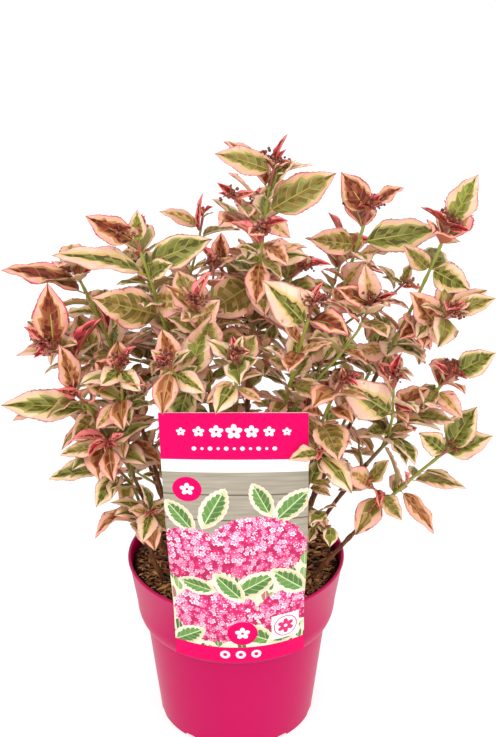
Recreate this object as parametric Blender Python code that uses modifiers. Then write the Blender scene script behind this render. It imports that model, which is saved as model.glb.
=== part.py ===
"""A variegated hydrangea in its nursery pot, in metres, +Z up.

The origin is the middle of the pot's flat underside and -Y is the front,
where the care card hangs.  Every shoot of the shrub is grown by the same
rule from its tip, its foot and a seed: a bare tapering limb that rises from
the compost, and a mass of foliage whose stem goes on from the limb's end.
"""

import math
import random

import bmesh
import bpy
import numpy as np
from mathutils import Vector
from mathutils.bvhtree import BVHTree

GAP = 0.0003                  # clearance between pieces that touch

# Nursery pot, a standard 19 cm size
POT_HEIGHT = 0.160
POT_TOP_RADIUS = 0.095
POT_FOOT_RADIUS = 0.0695
POT_WALL = 0.0016
POT_LIP = 0.0022              # how far the rolled lip stands out, and its height
COLLAR_FOOT_Z = 0.1176        # the tall collar ends here
COLLAR_FOOT_RADIUS = 0.0880
BODY_TOP_Z = 0.0985           # and steps in to the body here
BODY_TOP_RADIUS = 0.0802
POT_FLOOR = 0.0060
FOOT_CORNER = 0.0020
NOTCH_COUNT = 10
NOTCH_WIDTH = 0.013
NOTCH_HEIGHT = 0.0042
NOTCH_DEPTH = 0.0032
TURN_STEPS = 40

# Compost
SOIL_TOP = 0.1425

# Care card
CARD_WIDTH = 0.114
CARD_FOOT_Z = 0.1080
CARD_TOP_Z = 0.3490
CARD_THICKNESS = 0.0008
CARD_TOP_Y = -0.1050
CARD_CLEAR = 0.0008           # between its back and the rim
CARD_TILT = -0.022            # it hangs a little askew, sideways per metre up
CARD_SHIFT = 0.0035           # and to one side of the middle
CARD_COLUMNS = 10
CARD_ROWS = 10
TONGUE_WIDTH = 0.024
TONGUE_FOOT_Z = 0.1440

# Limbs and twigs
LIMB_FOOT_RADIUS = 0.0020
LIMB_END_RADIUS = 0.0016
LIMB_STEPS = 6
FOOT_LENGTH = 0.004           # a straight start, so that the foot stands square on the compost
FOOT_LEAN = 40                # degrees, for a limb that starts FOOT_LEAN_REACH from the middle
FOOT_LEAN_REACH = 0.075
CURVE_PULL = 0.36             # how far a curve keeps its first and last direction
PATH_STEPS = 24
TWIG_STEPS = 12
TWIG_FOLLOW = 0.8             # how much a twig starts along its parent
TWIG_RISE = 1.2               # and turns up at its end
TIP_UPRIGHT_Z = 0.50          # tips this high stand nearly upright
TIP_LEAN_FALL = 0.25          # tips this much lower lean out in full
TIP_LEANS = (12, 40)          # degrees from upright, and how many more lower down
STEM_RADIUS = 0.0018          # three-sided stems, corner to middle
TIP_RADIUS = 0.0013
STEM_STEP = 0.026
TWIG_ROOM = 0.0025            # clearance of a twig from its neighbours' space
SITE_START = 0.25             # a twig counts for its mass's space from this share on

# Leaves
NODE_DROP = (0.004, 0.020, 0.050, 0.084, 0.118)          # below the tip
LEAF_RUN = (0.040, 0.054, 0.062, 0.064, 0.058)           # leaf at each node
LEAF_RISE = (58, 40, 26, 16, 6)                          # degrees up
LEAF_WIDTH = 0.54             # of its length
LEAF_THICK = 0.045
LEAF_ARCH = 0.80              # radians that the midrib bends down
SET_ARCH = 0.45               # the same for the set leaves
SHORT_SIDE = 0.2              # a leaf this near to pointing at the sky takes its side from the stem
FACE_OUT = 0.55               # how much a leaf at the crown's edge turns its face outward
CROWN_REACH = 0.20
SAME_DROP = 0.014             # a set leaf stands in for one this near along the stem
SAME_WAY = 0.60               # and pointing this much the same way
BELLY = 0.42                  # where a leaf is widest and thickest, as a share of its run
BELLY_RISE = 0.06             # of its width, above the midrib's arc
ROOT_SINK = 0.0006            # root of a leaf behind its place on the stem's axis
PAIR_STEP = 0.0011            # one leaf of a pair sits this much higher
AXIL_STEP = 0.0055            # and the small leaves above them
AXIL_SHARE = 0.62             # size of the leaves between the pairs
TURN_SPREAD = 0.2             # radians
RISE_SPREAD = 9               # degrees
AXIL_RISE = 30                # degrees more for the small leaves, by how small they are
SIZE_SPREAD = (0.90, 1.10)
ARCH_SPREAD = (0.6, 1.3)
SWINGS = (0, 22, -22, 45, -45)                           # degrees tried in turn
SET_SWINGS = (0, 12, -12)
SHRINKS = (1.0, 0.84, 0.70)   # and sizes, for a leaf that doesn't fit
BUD_RADIUS = 0.0080
MARGIN = 0.0004               # kept to each side of a border between masses

# Shoots: tip, foot on the compost, turn of the top pair in degrees from the X axis, size of
# its leaves, and how long a stretch carries leaves.
SHOOTS = {
    "top": ((0.031, 0.000, 0.509), (0.010, -0.004), 10, 1.00, 0.155),
    "upper_right": ((0.109, 0.030, 0.466), (0.034, 0.014), 10, 0.95, 0.140),
    "right_high": ((0.170, 0.000, 0.463), (0.046, 0.000), 160, 1.00, 0.140),
    "right": ((0.176, -0.030, 0.347), (0.050, -0.014), 0, 0.85, 0.110),
    "right_low": ((0.181, -0.020, 0.274), (0.064, -0.026), 0, 0.60, 0.085),
    "centre": ((0.059, -0.090, 0.432), (0.018, -0.036), 60, 0.80, 0.140),
    "upper_left": ((-0.078, -0.020, 0.460), (-0.026, -0.006), 10, 1.00, 0.140),
    "left_high": ((-0.129, 0.000, 0.425), (-0.046, 0.004), 90, 0.90, 0.130),
    "left_mid": ((-0.128, -0.050, 0.340), (-0.050, -0.022), 90, 0.85, 0.110),
    "left_low": ((-0.100, -0.050, 0.272), (-0.060, -0.030), 0, 0.75, 0.085),
    "centre_left": ((-0.030, -0.070, 0.424), (-0.014, -0.030), 45, 0.80, 0.140),
    "front": ((0.002, -0.112, 0.400), (-0.002, -0.048), 10, 0.75, 0.055),
    "front_right": ((0.082, -0.095, 0.370), (0.040, -0.040), 50, 0.80, 0.110),
    "back_high": ((0.020, 0.085, 0.452), (0.006, 0.026), 30, 1.00, 0.140),
    "back_left": ((-0.085, 0.090, 0.412), (-0.028, 0.030), 60, 0.95, 0.140),
    "back_right": ((0.095, 0.105, 0.402), (0.030, 0.036), 20, 0.95, 0.140),
    "back": ((0.000, 0.155, 0.365), (0.000, 0.054), 0, 0.95, 0.130),
    "back_left_low": ((-0.125, 0.105, 0.300), (-0.052, 0.040), 40, 0.90, 0.100),
    "back_right_low": ((0.130, 0.115, 0.295), (0.052, 0.038), 15, 0.90, 0.100),
}

# Side twigs inside a mass: tip, the shoot they leave, how far below its tip, turn and size.
TWIGS = {
    "top_red": ((0.022, -0.070, 0.481), "top", 0.100, 40, 0.60),
    "top_bud": ((-0.002, -0.030, 0.497), "top", 0.050, 20, 0.45),
    "top_left": ((-0.013, -0.010, 0.432), "top", 0.120, 70, 0.70),
    "centre_back": ((0.052, -0.010, 0.430), "top", 0.130, 20, 0.70),
    "yellow": ((0.143, 0.050, 0.394), "upper_right", 0.115, 0, 0.45),
    "right_bend": ((0.171, -0.040, 0.405), "right_high", 0.100, 20, 0.80),
    "centre_right": ((0.106, -0.050, 0.416), "centre", 0.125, 60, 0.75),
    "right_in": ((0.124, -0.070, 0.362), "right", 0.090, 30, 0.60),
    "right_low_in": ((0.108, -0.060, 0.262), "right_low", 0.075, 30, 0.50),
    "upright": ((-0.026, 0.030, 0.460), "upper_left", 0.110, 75, 0.75),
    "red_star": ((-0.016, -0.030, 0.440), "centre_left", 0.070, 20, 0.60),
    "left": ((-0.149, -0.030, 0.373), "left_high", 0.100, 50, 0.80),
    "left_in": ((-0.088, -0.070, 0.372), "left_mid", 0.100, 50, 0.65),
    "left_mid_low": ((-0.100, -0.080, 0.308), "left_mid", 0.070, 30, 0.70),
    "left_foot": ((-0.068, -0.080, 0.247), "left_low", 0.070, 60, 0.60),
    "front_left": ((-0.051, -0.105, 0.390), "centre_left", 0.090, 30, 0.70),
    "front_low": ((0.066, -0.110, 0.318), "front_right", 0.090, 20, 0.65),
    "back_out": ((0.060, 0.140, 0.340), "back", 0.080, 20, 0.80),
    "back_in": ((-0.045, 0.140, 0.330), "back", 0.100, 70, 0.80),
    "far_left": ((-0.150, 0.050, 0.350), "back_left", 0.120, 10, 0.80),
    "far_right": ((0.160, 0.065, 0.345), "back_right", 0.120, 10, 0.80),
    "back_mid": ((0.040, 0.070, 0.400), "back_high", 0.110, 10, 0.70),
}

# Set leaves are given as they show in a front view of the shrub: the view's size and scale in
# its own steps, and how its eye stands to the shrub.
VIEW_ACROSS = 496
VIEW_DOWN = 737
VIEW_SCALE = 1400.0            # steps that a metre takes up, one metre from the eye
VIEW_DISTANCE = 1.16
VIEW_RISE = 24.8               # degrees that the eye looks down
VIEW_AIM = (0.0105, 0.0, 0.337)
READ_STEP = 0.002              # a leaf's root is looked for at every such step down its stem
READ_REACH = 0.17
READ_ANGLE = 5                 # degrees, to which a leaf's angles are rounded
UPRIGHT_SIDE = 0.05            # a leaf this near to straight up takes its side from the X axis

# Leaves that carry the crown's outline and its broad faces, by the stem they leave: where root
# and tip show in the front view, in steps across and down; how much further back the tip is
# than the root, in metres; how far the leaf's face is rolled to the eye, 0 to 1; its width as a
# percentage of its length.
SET_LEAVES = {
    "top": (
        ((272, 172), (214, 153), -0.010, 0.6, 42), ((274, 170), (288, 134), 0.000, 0.3, 34),
        ((272, 178), (314, 165), 0.000, 0.0, 36), ((268, 206), (297, 160), -0.005, 0.3, 44),
        ((266, 213), (338, 174), 0.005, 0.9, 42), ((259, 250), (210, 199), 0.000, 0.3, 42),
        ((258, 262), (309, 258), -0.010, 0.5, 44), ((254, 282), (201, 313), -0.040, 1.0, 62),
        ((254, 284), (290, 262), -0.010, 0.3, 48),
    ),
    "upper_right": (
        ((368, 214), (341, 172), 0.000, 1.0, 56), ((361, 245), (309, 238), -0.010, 1.0, 52),
        ((361, 244), (444, 232), 0.000, 0.8, 40), ((350, 285), (364, 262), -0.015, 1.0, 60),
        ((347, 290), (338, 312), -0.030, 0.9, 55), ((353, 262), (392, 250), 0.010, 0.3, 46),
    ),
    "right_high": (
        ((449, 225), (481, 175), 0.000, 1.0, 48), ((430, 272), (402, 246), -0.005, 1.0, 50),
        ((431, 268), (470, 290), -0.020, 0.9, 62),
    ),
    "right_bend": (
        ((449, 315), (496, 298), 0.000, 0.6, 42), ((435, 324), (408, 293), -0.015, 1.0, 52),
        ((425, 325), (398, 340), -0.020, 0.4, 48),
    ),
    "right": (
        ((451, 374), (496, 352), 0.000, 1.0, 52), ((437, 388), (463, 418), -0.020, 0.8, 50),
        ((411, 416), (455, 424), -0.010, 0.4, 48),
    ),
    "right_in": (
        ((392, 415), (340, 381), -0.020, 1.0, 50),
    ),
    "centre_right": (
        ((371, 303), (365, 263), 0.000, 0.9, 52), ((371, 304), (336, 288), -0.010, 0.8, 50),
    ),
    "centre": (
        ((306, 325), (262, 279), -0.020, 1.0, 48), ((297, 354), (334, 344), -0.010, 0.2, 40),
        ((290, 384), (331, 401), -0.020, 0.3, 44), ((293, 374), (262, 348), -0.030, 0.3, 38),
    ),
    "upper_left": (
        ((136, 242), (84, 218), -0.005, 0.9, 46), ((137, 244), (137, 208), 0.000, 0.5, 44),
        ((148, 276), (52, 252), 0.000, 0.3, 36), ((162, 315), (91, 297), -0.020, 1.0, 50),
        ((145, 266), (213, 238), -0.010, 0.8, 40), ((148, 278), (174, 264), -0.020, 0.6, 50),
        ((157, 300), (191, 300), -0.030, 0.9, 60),
    ),
    "upright": (
        ((201, 228), (158, 212), -0.005, 0.5, 42), ((200, 234), (203, 193), 0.000, 0.6, 24),
    ),
    "left_high": (
        ((87, 294), (0, 272), 0.000, 0.2, 38), ((105, 332), (96, 304), -0.015, 0.7, 46),
    ),
    "left": (
        ((52, 348), (48, 281), -0.005, 1.0, 46), ((60, 354), (66, 323), -0.005, 0.4, 44),
        ((75, 360), (104, 318), -0.015, 0.6, 44),
    ),
    "left_mid": (
        ((74, 392), (60, 343), 0.000, 0.8, 44), ((90, 410), (0, 407), -0.010, 0.7, 36),
        ((92, 412), (12, 424), 0.010, 0.3, 40), ((96, 418), (72, 442), -0.030, 0.8, 60),
    ),
    "left_in": (
        ((122, 404), (96, 430), -0.020, 0.7, 50),
    ),
    "left_mid_low": (
        ((109, 446), (60, 457), 0.000, 0.3, 36),
    ),
    "left_low": (
        ((115, 468), (47, 478), 0.000, 0.4, 38), ((117, 470), (95, 507), -0.020, 0.9, 50),
    ),
    "left_foot": (
        ((150, 512), (140, 484), -0.005, 0.5, 48), ((150, 513), (141, 543), -0.030, 0.9, 55),
    ),
    "centre_left": (
        ((203, 349), (212, 316), -0.020, 1.0, 60), ((199, 322), (220, 300), -0.010, 0.8, 55),
    ),
    "front_left": (
        ((172, 374), (205, 392), -0.015, 0.8, 52),
    ),
    "right_low": (
        ((443, 454), (494, 436), 0.000, 1.0, 48), ((447, 451), (479, 407), 0.000, 0.9, 50),
        ((444, 453), (419, 432), -0.010, 0.8, 52), ((410, 480), (467, 487), -0.010, 0.2, 34),
        ((400, 489), (434, 534), -0.020, 0.4, 36), ((398, 490), (384, 446), -0.010, 0.2, 30),
    ),
    "right_low_in": (
        ((370, 486), (344, 470), -0.010, 0.8, 55), ((378, 494), (402, 520), -0.015, 0.6, 50),
    ),
    "front_right": (
        ((329, 402), (312, 386), -0.015, 0.5, 44), ((321, 424), (352, 446), -0.015, 0.6, 46),
    ),
}


def material(name, colour, roughness, metallic=0.0):
    """A Principled material in one linear colour."""
    made = bpy.data.materials.new(name)
    made.use_nodes = True
    shader = made.node_tree.nodes["Principled BSDF"]
    shader.inputs["Base Color"].default_value = (*colour, 1.0)
    shader.inputs["Roughness"].default_value = roughness
    shader.inputs["Metallic"].default_value = metallic
    return made


def new_object(name, data, collection, finish=None):
    """Link a new object, with its material, to a collection."""
    made = bpy.data.objects.new(name, data)
    if finish is not None:
        data.materials.append(finish)
    collection.objects.link(made)
    return made


def mesh_from(bm, name):
    """Turn a bmesh into a mesh and free it."""
    mesh = bpy.data.meshes.new(name)
    bm.to_mesh(mesh)
    bm.free()
    return mesh


def evaluated_mesh(source, name):
    """The object's mesh as its modifiers leave it, with doubles welded."""
    graph = bpy.context.evaluated_depsgraph_get()
    mesh = bpy.data.meshes.new_from_object(source.evaluated_get(graph))
    mesh.name = name
    bm = bmesh.new()
    bm.from_mesh(mesh)
    bmesh.ops.remove_doubles(bm, verts=bm.verts, dist=1e-6)
    bmesh.ops.recalc_face_normals(bm, faces=bm.faces)
    bm.to_mesh(mesh)
    bm.free()
    return mesh


def replace_by_mesh(source, collection, finish):
    """Swap an object with live modifiers, or a curve, for its plain mesh."""
    name = source.name
    mesh = evaluated_mesh(source, name)
    bpy.data.objects.remove(source)
    mesh.materials.clear()
    return new_object(name, mesh, collection, finish)


# Pot, compost and care card ------------------------------------------------

def pot_profile():
    """Half of the pot's section, from the rim down outside and back up inside."""
    outer = [
        (POT_TOP_RADIUS, POT_HEIGHT),
        (POT_TOP_RADIUS, POT_HEIGHT - POT_LIP),
        (POT_TOP_RADIUS - 0.5 * POT_LIP, POT_HEIGHT - 1.8 * POT_LIP),
        (COLLAR_FOOT_RADIUS, COLLAR_FOOT_Z),
    ]
    steps = 4
    for step in range(1, steps):
        angle = 0.5 * math.pi * step / steps
        outer.append((
            COLLAR_FOOT_RADIUS - (COLLAR_FOOT_RADIUS - BODY_TOP_RADIUS) * (1 - math.cos(angle)),
            COLLAR_FOOT_Z - (COLLAR_FOOT_Z - BODY_TOP_Z) * math.sin(angle),
        ))
    outer += [
        (BODY_TOP_RADIUS, BODY_TOP_Z),
        (POT_FOOT_RADIUS, FOOT_CORNER),
        (POT_FOOT_RADIUS - FOOT_CORNER, 0.0),
        (0.0, 0.0),
    ]
    inner = [(0.0, POT_FLOOR)]
    inner += [(r - POT_WALL, z) for r, z in reversed(outer[3:-3])]
    inner.insert(1, (POT_FOOT_RADIUS - POT_WALL, POT_FLOOR))
    inner.append((POT_TOP_RADIUS - 0.5 * POT_LIP - POT_WALL, POT_HEIGHT))
    return outer + inner


def turned(name, profile, collection, finish):
    """A closed turned body from a profile of (radius, height) points."""
    bm = bmesh.new()
    verts = [bm.verts.new((r, 0.0, z)) for r, z in profile]
    for first, second in zip(verts, verts[1:]):
        bm.edges.new((first, second))
    if profile[0][0] > 0.0:
        bm.edges.new((verts[-1], verts[0]))
    body = new_object(name, mesh_from(bm, name), collection, finish)
    screw = body.modifiers.new("turn", "SCREW")
    screw.steps = screw.render_steps = TURN_STEPS
    screw.use_merge_vertices = True
    screw.merge_threshold = 0.00001
    return body


def make_pot(collection, cutters):
    """The pot, with shallow drain notches scalloped round its foot."""
    plastic = material("magenta_plastic", (0.72, 0.016, 0.13), 0.35)
    pot = turned("pot", pot_profile(), collection, plastic)
    bm = bmesh.new()
    for count in range(NOTCH_COUNT):
        angle = 2 * math.pi * (count + 0.5) / NOTCH_COUNT
        block = bmesh.ops.create_cone(
            bm, cap_ends=True, segments=16, radius1=NOTCH_HEIGHT, radius2=NOTCH_HEIGHT,
            depth=2 * NOTCH_DEPTH)["verts"]
        for vert in block:
            along, across, up = vert.co.z, vert.co.x, vert.co.y
            radius = POT_FOOT_RADIUS + along
            across *= 0.5 * NOTCH_WIDTH / NOTCH_HEIGHT
            vert.co = (radius * math.cos(angle) - across * math.sin(angle),
                       radius * math.sin(angle) + across * math.cos(angle), up)
    bmesh.ops.recalc_face_normals(bm, faces=bm.faces)
    notches = new_object("foot_notches", mesh_from(bm, "foot_notches"), cutters)
    notches.hide_render = True
    notches.display_type = "WIRE"
    cut = pot.modifiers.new("notches", "BOOLEAN")
    cut.operation = "DIFFERENCE"
    cut.object = notches
    return pot


def pot_inner_radius(z):
    """The pot's inner radius at a height above its floor."""
    inside = [(r, h) for r, h in pot_profile()[-8:]]
    for (low_r, low_z), (high_r, high_z) in zip(inside, inside[1:]):
        if low_z <= z <= high_z:
            return low_r + (high_r - low_r) * (z - low_z) / max(high_z - low_z, 1e-9)
    return inside[0][0]


def make_soil(collection):
    """The compost that fills the pot, clear of its wall by the gap."""
    profile = [(0.0, SOIL_TOP)]
    levels = [SOIL_TOP, COLLAR_FOOT_Z, BODY_TOP_Z, POT_FLOOR + GAP]
    for step in range(1, 4):
        levels.insert(-2, COLLAR_FOOT_Z - (COLLAR_FOOT_Z - BODY_TOP_Z) * step / 4)
    profile += [(pot_inner_radius(z) - 2 * GAP, z) for z in levels]
    profile.append((0.0, POT_FLOOR + GAP))
    return turned("compost", profile, collection, material("bark_compost", (0.05, 0.028, 0.018), 0.9))


def card_point(across, z):
    """A point on the card's back: it hugs the pot's collar, then goes flat."""
    rise = (z - CARD_FOOT_Z) / (CARD_TOP_Z - CARD_FOOT_Z)
    rim_share = (POT_HEIGHT - CARD_FOOT_Z) / (CARD_TOP_Z - CARD_FOOT_Z)
    rim_y = POT_TOP_RADIUS + CARD_CLEAR
    if rise < rim_share:
        share = rise / rim_share
        middle = rim_y - (rim_y - COLLAR_FOOT_RADIUS - 2.5 * CARD_CLEAR) * (1 - share)
        bend = 1 / rim_y
    else:
        share = (rise - rim_share) / (1 - rim_share)
        middle = rim_y + (-CARD_TOP_Y - rim_y) * share
        bend = (1 - share) ** 1.5 / rim_y
    if bend < 1e-4:
        return Vector((across, -middle, z))
    angle = across * bend
    return Vector((math.sin(angle) / bend, -middle + (1 - math.cos(angle)) / bend, z))


def make_card(collection, cutters):
    """The care card, hung on the rim by a tongue on its back."""
    bm = bmesh.new()
    bmesh.ops.create_grid(bm, x_segments=CARD_COLUMNS, y_segments=CARD_ROWS, size=0.5)
    for vert in bm.verts:
        z = CARD_FOOT_Z + (vert.co.y + 0.5) * (CARD_TOP_Z - CARD_FOOT_Z)
        askew = CARD_SHIFT + CARD_TILT * (z - POT_HEIGHT)
        vert.co = card_point(vert.co.x * CARD_WIDTH + askew, z)
    paper = material("printed_card", (0.75, 0.35, 0.45), 0.4)
    card = new_object("care_card", mesh_from(bm, "care_card"), collection, paper)
    shell = card.modifiers.new("thickness", "SOLIDIFY")
    shell.thickness = CARD_THICKNESS
    shell.offset = 1.0
    back = -POT_TOP_RADIUS - CARD_CLEAR
    over = POT_HEIGHT + GAP
    inside = 2 * CARD_CLEAR - POT_TOP_RADIUS + 0.5 * POT_LIP + POT_WALL
    foot = 2 * CARD_CLEAR - pot_inner_radius(TONGUE_FOOT_Z)
    hook = [
        (back - 0.6 * CARD_THICKNESS, over + 3 * CARD_THICKNESS),
        (back - 0.6 * CARD_THICKNESS, over),
        (inside, over),
        (foot, TONGUE_FOOT_Z),
        (foot + CARD_THICKNESS, TONGUE_FOOT_Z),
        (inside + CARD_THICKNESS, over + CARD_THICKNESS),
        (back + 0.8 * CARD_THICKNESS, over + 2 * CARD_THICKNESS),
    ]
    bm = bmesh.new()
    outline = bm.faces.new([bm.verts.new((-0.5 * TONGUE_WIDTH, y, z)) for y, z in hook])
    grown = bmesh.ops.extrude_face_region(bm, geom=[outline])["geom"]
    for part in grown:
        if isinstance(part, bmesh.types.BMVert):
            part.co.x += TONGUE_WIDTH
    bmesh.ops.recalc_face_normals(bm, faces=bm.faces)
    tongue = new_object("tongue", mesh_from(bm, "tongue"), cutters)
    tongue.hide_render = True
    tongue.display_type = "WIRE"
    join = card.modifiers.new("tongue", "BOOLEAN")
    join.operation = "UNION"
    join.object = tongue
    return card


# Shoots ---------------------------------------------------------------------

def curve_between(start, lift, tip, lean, count):
    """Points along a smooth limb that starts along lift and ends along lean."""
    reach = (tip - start).length
    first = start + lift * reach * CURVE_PULL
    second = tip - lean * reach * CURVE_PULL
    points = []
    for step in range(count + 1):
        t = step / count
        points.append(start * (1 - t) ** 3 + first * 3 * t * (1 - t) ** 2
                      + second * 3 * t * t * (1 - t) + tip * t ** 3)
    return points


def tip_lean(tip):
    """Which way a shoot's tip points: upright at the top, outward lower down."""
    outward = Vector((tip.x, tip.y, 0.0)).normalized()
    share = min(max((TIP_UPRIGHT_Z - tip.z) / TIP_LEAN_FALL, 0.0), 1.0)
    angle = math.radians(TIP_LEANS[0] + TIP_LEANS[1] * share)
    return outward * math.sin(angle) + Vector((0, 0, 1)) * math.cos(angle)


def foot_lift(foot):
    """Which way a limb leaves the compost: leaning out more, further from the middle."""
    outward = Vector((foot.x, foot.y, 0.0))
    angle = math.radians(FOOT_LEAN) * min(1.0, (outward.length / FOOT_LEAN_REACH) ** 2)
    return outward.normalized() * math.sin(angle) + Vector((0, 0, 1)) * math.cos(angle)


class Path:
    """A polyline that can be read by its distance from the start."""

    def __init__(self, points):
        self.points = points
        self.lengths = [0.0]
        for first, second in zip(points, points[1:]):
            self.lengths.append(self.lengths[-1] + (second - first).length)
        self.total = self.lengths[-1]

    def at(self, distance):
        """The point and the direction at a distance from the start."""
        distance = min(max(distance, 0.0), self.total)
        for index in range(1, len(self.points)):
            if distance <= self.lengths[index] or index == len(self.points) - 1:
                first, second = self.points[index - 1], self.points[index]
                span = self.lengths[index] - self.lengths[index - 1]
                share = (distance - self.lengths[index - 1]) / span
                return first.lerp(second, share), (second - first).normalized()

    def part(self, start, end, step):
        """Points evenly spaced from start to end."""
        count = max(1, round((end - start) / step))
        return [self.at(start + (end - start) * index / count)[0] for index in range(count + 1)]


def across_to(direction, turn):
    """A unit vector square to a direction, at a compass turn from the X axis."""
    flat = Vector((math.cos(turn), math.sin(turn), 0.0))
    return (flat - direction * flat.dot(direction)).normalized()


def arc_point(leaf, share):
    """A point on a leaf's midrib, which bends down along an arc."""
    bend = leaf["arch"] * share
    radius = leaf["run"] / leaf["arch"]
    return (leaf["base"] + leaf["along"] * radius * math.sin(bend)
            - leaf["up"] * radius * (1 - math.cos(bend)))


def leaf_corners(leaf):
    """The five corners of a leaf solid: root, right, tip, left and the ridge."""
    side = leaf["along"].cross(leaf["up"]).normalized()
    belly = arc_point(leaf, BELLY) + leaf["up"] * BELLY_RISE * leaf["width"]
    half = 0.5 * leaf["width"]
    return [
        leaf["base"] - leaf["along"] * ROOT_SINK,
        belly + side * half,
        arc_point(leaf, 1.0),
        belly - side * half,
        belly + leaf["up"] * LEAF_THICK * leaf["run"],
    ]


def leaf_on(base, along, fallback, run):
    """A leaf from a point along a direction, its face to the sky and a little outward."""
    sky = Vector((0, 0, 1)) + Vector((base.x, base.y, 0.0)) * (FACE_OUT / CROWN_REACH)
    side = along.cross(sky)
    if side.length < SHORT_SIDE:
        side = fallback
    return {"base": base, "along": along, "up": side.cross(along).normalized(), "run": run,
            "width": run * LEAF_WIDTH}


def make_leaf(base, stem, turn, rise, run, arch):
    """A leaf's placing: where it leaves the stem, which way, and how long."""
    outward = across_to(stem, turn)
    along = (outward * math.cos(rise) + stem * math.sin(rise)).normalized()
    leaf = leaf_on(base, along, outward.cross(stem), run)
    leaf["arch"] = arch
    return leaf


AHEAD = Vector((0.0, math.cos(math.radians(VIEW_RISE)), -math.sin(math.radians(VIEW_RISE))))
RIGHT = Vector((1.0, 0.0, 0.0))
UPWARD = RIGHT.cross(AHEAD)
EYE = Vector(VIEW_AIM) - AHEAD * VIEW_DISTANCE


def seen_at(point):
    """Where a point shows in the front view, in steps across and down."""
    offset = point - EYE
    scale = VIEW_SCALE / offset.dot(AHEAD)
    return Vector((VIEW_ACROSS / 2 + scale * offset.dot(RIGHT),
                   VIEW_DOWN / 2 - scale * offset.dot(UPWARD)))


def place_seen_at(spot, depth):
    """The place at this Y that shows at a spot of the front view."""
    ray = (AHEAD + RIGHT * ((spot[0] - VIEW_ACROSS / 2) / VIEW_SCALE)
           + UPWARD * ((VIEW_DOWN / 2 - spot[1]) / VIEW_SCALE))
    return EYE + ray * ((depth - EYE.y) / ray.y)


def level_frame(along):
    """Two directions across another: one level, and the one above it."""
    side = along.cross(Vector((0.0, 0.0, 1.0)))
    if side.length < UPRIGHT_SIDE:
        side = Vector((1.0, 0.0, 0.0))
    side.normalize()
    return side, side.cross(along).normalized()


def read_leaf(path, root, tip, deeper, facing):
    """How a leaf grows that shows from root to tip: its drop below the stem's tip and its
    length in millimetres, and its turn, rise and roll in degrees."""
    steps = range(1, int(path.total / READ_STEP))
    drops = [step * READ_STEP for step in steps if step * READ_STEP < READ_REACH]
    drop = min(drops, key=lambda below: (seen_at(path.at(path.total - below)[0])
                                         - Vector(root)).length)
    base, _ = path.at(path.total - drop)
    chord = place_seen_at(tip, base.y + deeper) - base
    half = 0.5 * SET_ARCH
    run = chord.length * half / math.sin(half)
    chord.normalize()
    side, above = level_frame(chord)
    view = (EYE - base).normalized()
    view = (view - chord * view.dot(chord)).normalized()
    roll = facing * math.atan2(view.dot(side), view.dot(above))
    above = above * math.cos(roll) + side * math.sin(roll)
    along = (chord * math.cos(half) + above * math.sin(half)).normalized()
    leaf_up = (above * math.cos(half) - chord * math.sin(half)).normalized()
    side, above = level_frame(along)
    angles = (math.atan2(along.y, along.x), math.asin(along.z),
              math.atan2(leaf_up.dot(side), leaf_up.dot(above)))
    return (round(1000 * drop), round(1000 * run),
            *(READ_ANGLE * round(math.degrees(angle) / READ_ANGLE) for angle in angles))


def set_leaves(name, path):
    """Ways to place the leaves that are given for a stem, with their drop and direction."""
    made, taken = [], []
    for root, tip, deeper, facing, width in SET_LEAVES.get(name, ()):
        drop, run, turn, rise, roll = read_leaf(path, root, tip, deeper, facing)
        base, _ = path.at(path.total - 0.001 * drop)
        ways = []
        for shrink in SHRINKS:
            for swing in SET_SWINGS:
                flat, steep, lean = (math.radians(angle) for angle in (turn + swing, rise, roll))
                along = Vector((math.cos(flat) * math.cos(steep),
                                math.sin(flat) * math.cos(steep), math.sin(steep)))
                side = along.cross(Vector((0, 0, 1))).normalized()
                up = side.cross(along) * math.cos(lean) + side * math.sin(lean)
                ways.append({"base": base, "along": along, "up": up, "run": 0.001 * run * shrink,
                             "width": 0.00001 * run * width * shrink, "arch": SET_ARCH})
        made.append(ways)
        taken.append((0.001 * drop, ways[0]["along"]))
    return made, taken


def leaves_along(path, leafy, turn, size, taken, dice):
    """Ways to place each leaf down a shoot: opposite pairs, and axil leaves."""
    leaves = []
    for index, drop in enumerate(NODE_DROP):
        if drop > leafy:
            break
        pair_turn = turn + index * 0.5 * math.pi + dice.uniform(-TURN_SPREAD, TURN_SPREAD)
        spokes = [(0.0, 1.0, 0.0), (math.pi, 1.0, PAIR_STEP)]
        if index > 1:
            spokes += [(0.5 * math.pi, AXIL_SHARE, AXIL_STEP),
                       (-0.5 * math.pi, AXIL_SHARE, AXIL_STEP + PAIR_STEP)]
        for spoke, share, higher in spokes:
            base, stem = path.at(path.total - drop + higher)
            rise = LEAF_RISE[index] + dice.uniform(-RISE_SPREAD, RISE_SPREAD) + AXIL_RISE * (1 - share)
            run = LEAF_RUN[index] * size * share * dice.uniform(*SIZE_SPREAD)
            arch = LEAF_ARCH * dice.uniform(*ARCH_SPREAD)
            ways = [
                make_leaf(base, stem, pair_turn + spoke + math.radians(swing),
                          math.radians(rise), run * shrink, arch)
                for shrink in SHRINKS for swing in SWINGS]
            if not any(abs(drop - higher - there) < SAME_DROP and way.dot(ways[0]["along"]) > SAME_WAY
                       for there, way in taken):
                leaves.append(ways)
    return leaves


# Each mass keeps to the space that is nearer to its own stems than to others'

class Space:
    """The space of one mass: nearer to its own stems than to the others'."""

    def __init__(self, own, sites):
        self.own = np.array(sites[own])
        self.others = np.array([site for name in sites if name != own for site in sites[name]])

    def room(self, point):
        """How far a point lies inside the space, below zero outside it."""
        point = np.array(point)
        squares = ((self.own - point) ** 2).sum(axis=1)
        nearest = self.own[squares.argmin()]
        beyond = ((self.others - point) ** 2).sum(axis=1) - squares.min()
        apart = np.sqrt(((self.others - nearest) ** 2).sum(axis=1))
        return (beyond / (2 * apart)).min()


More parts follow.
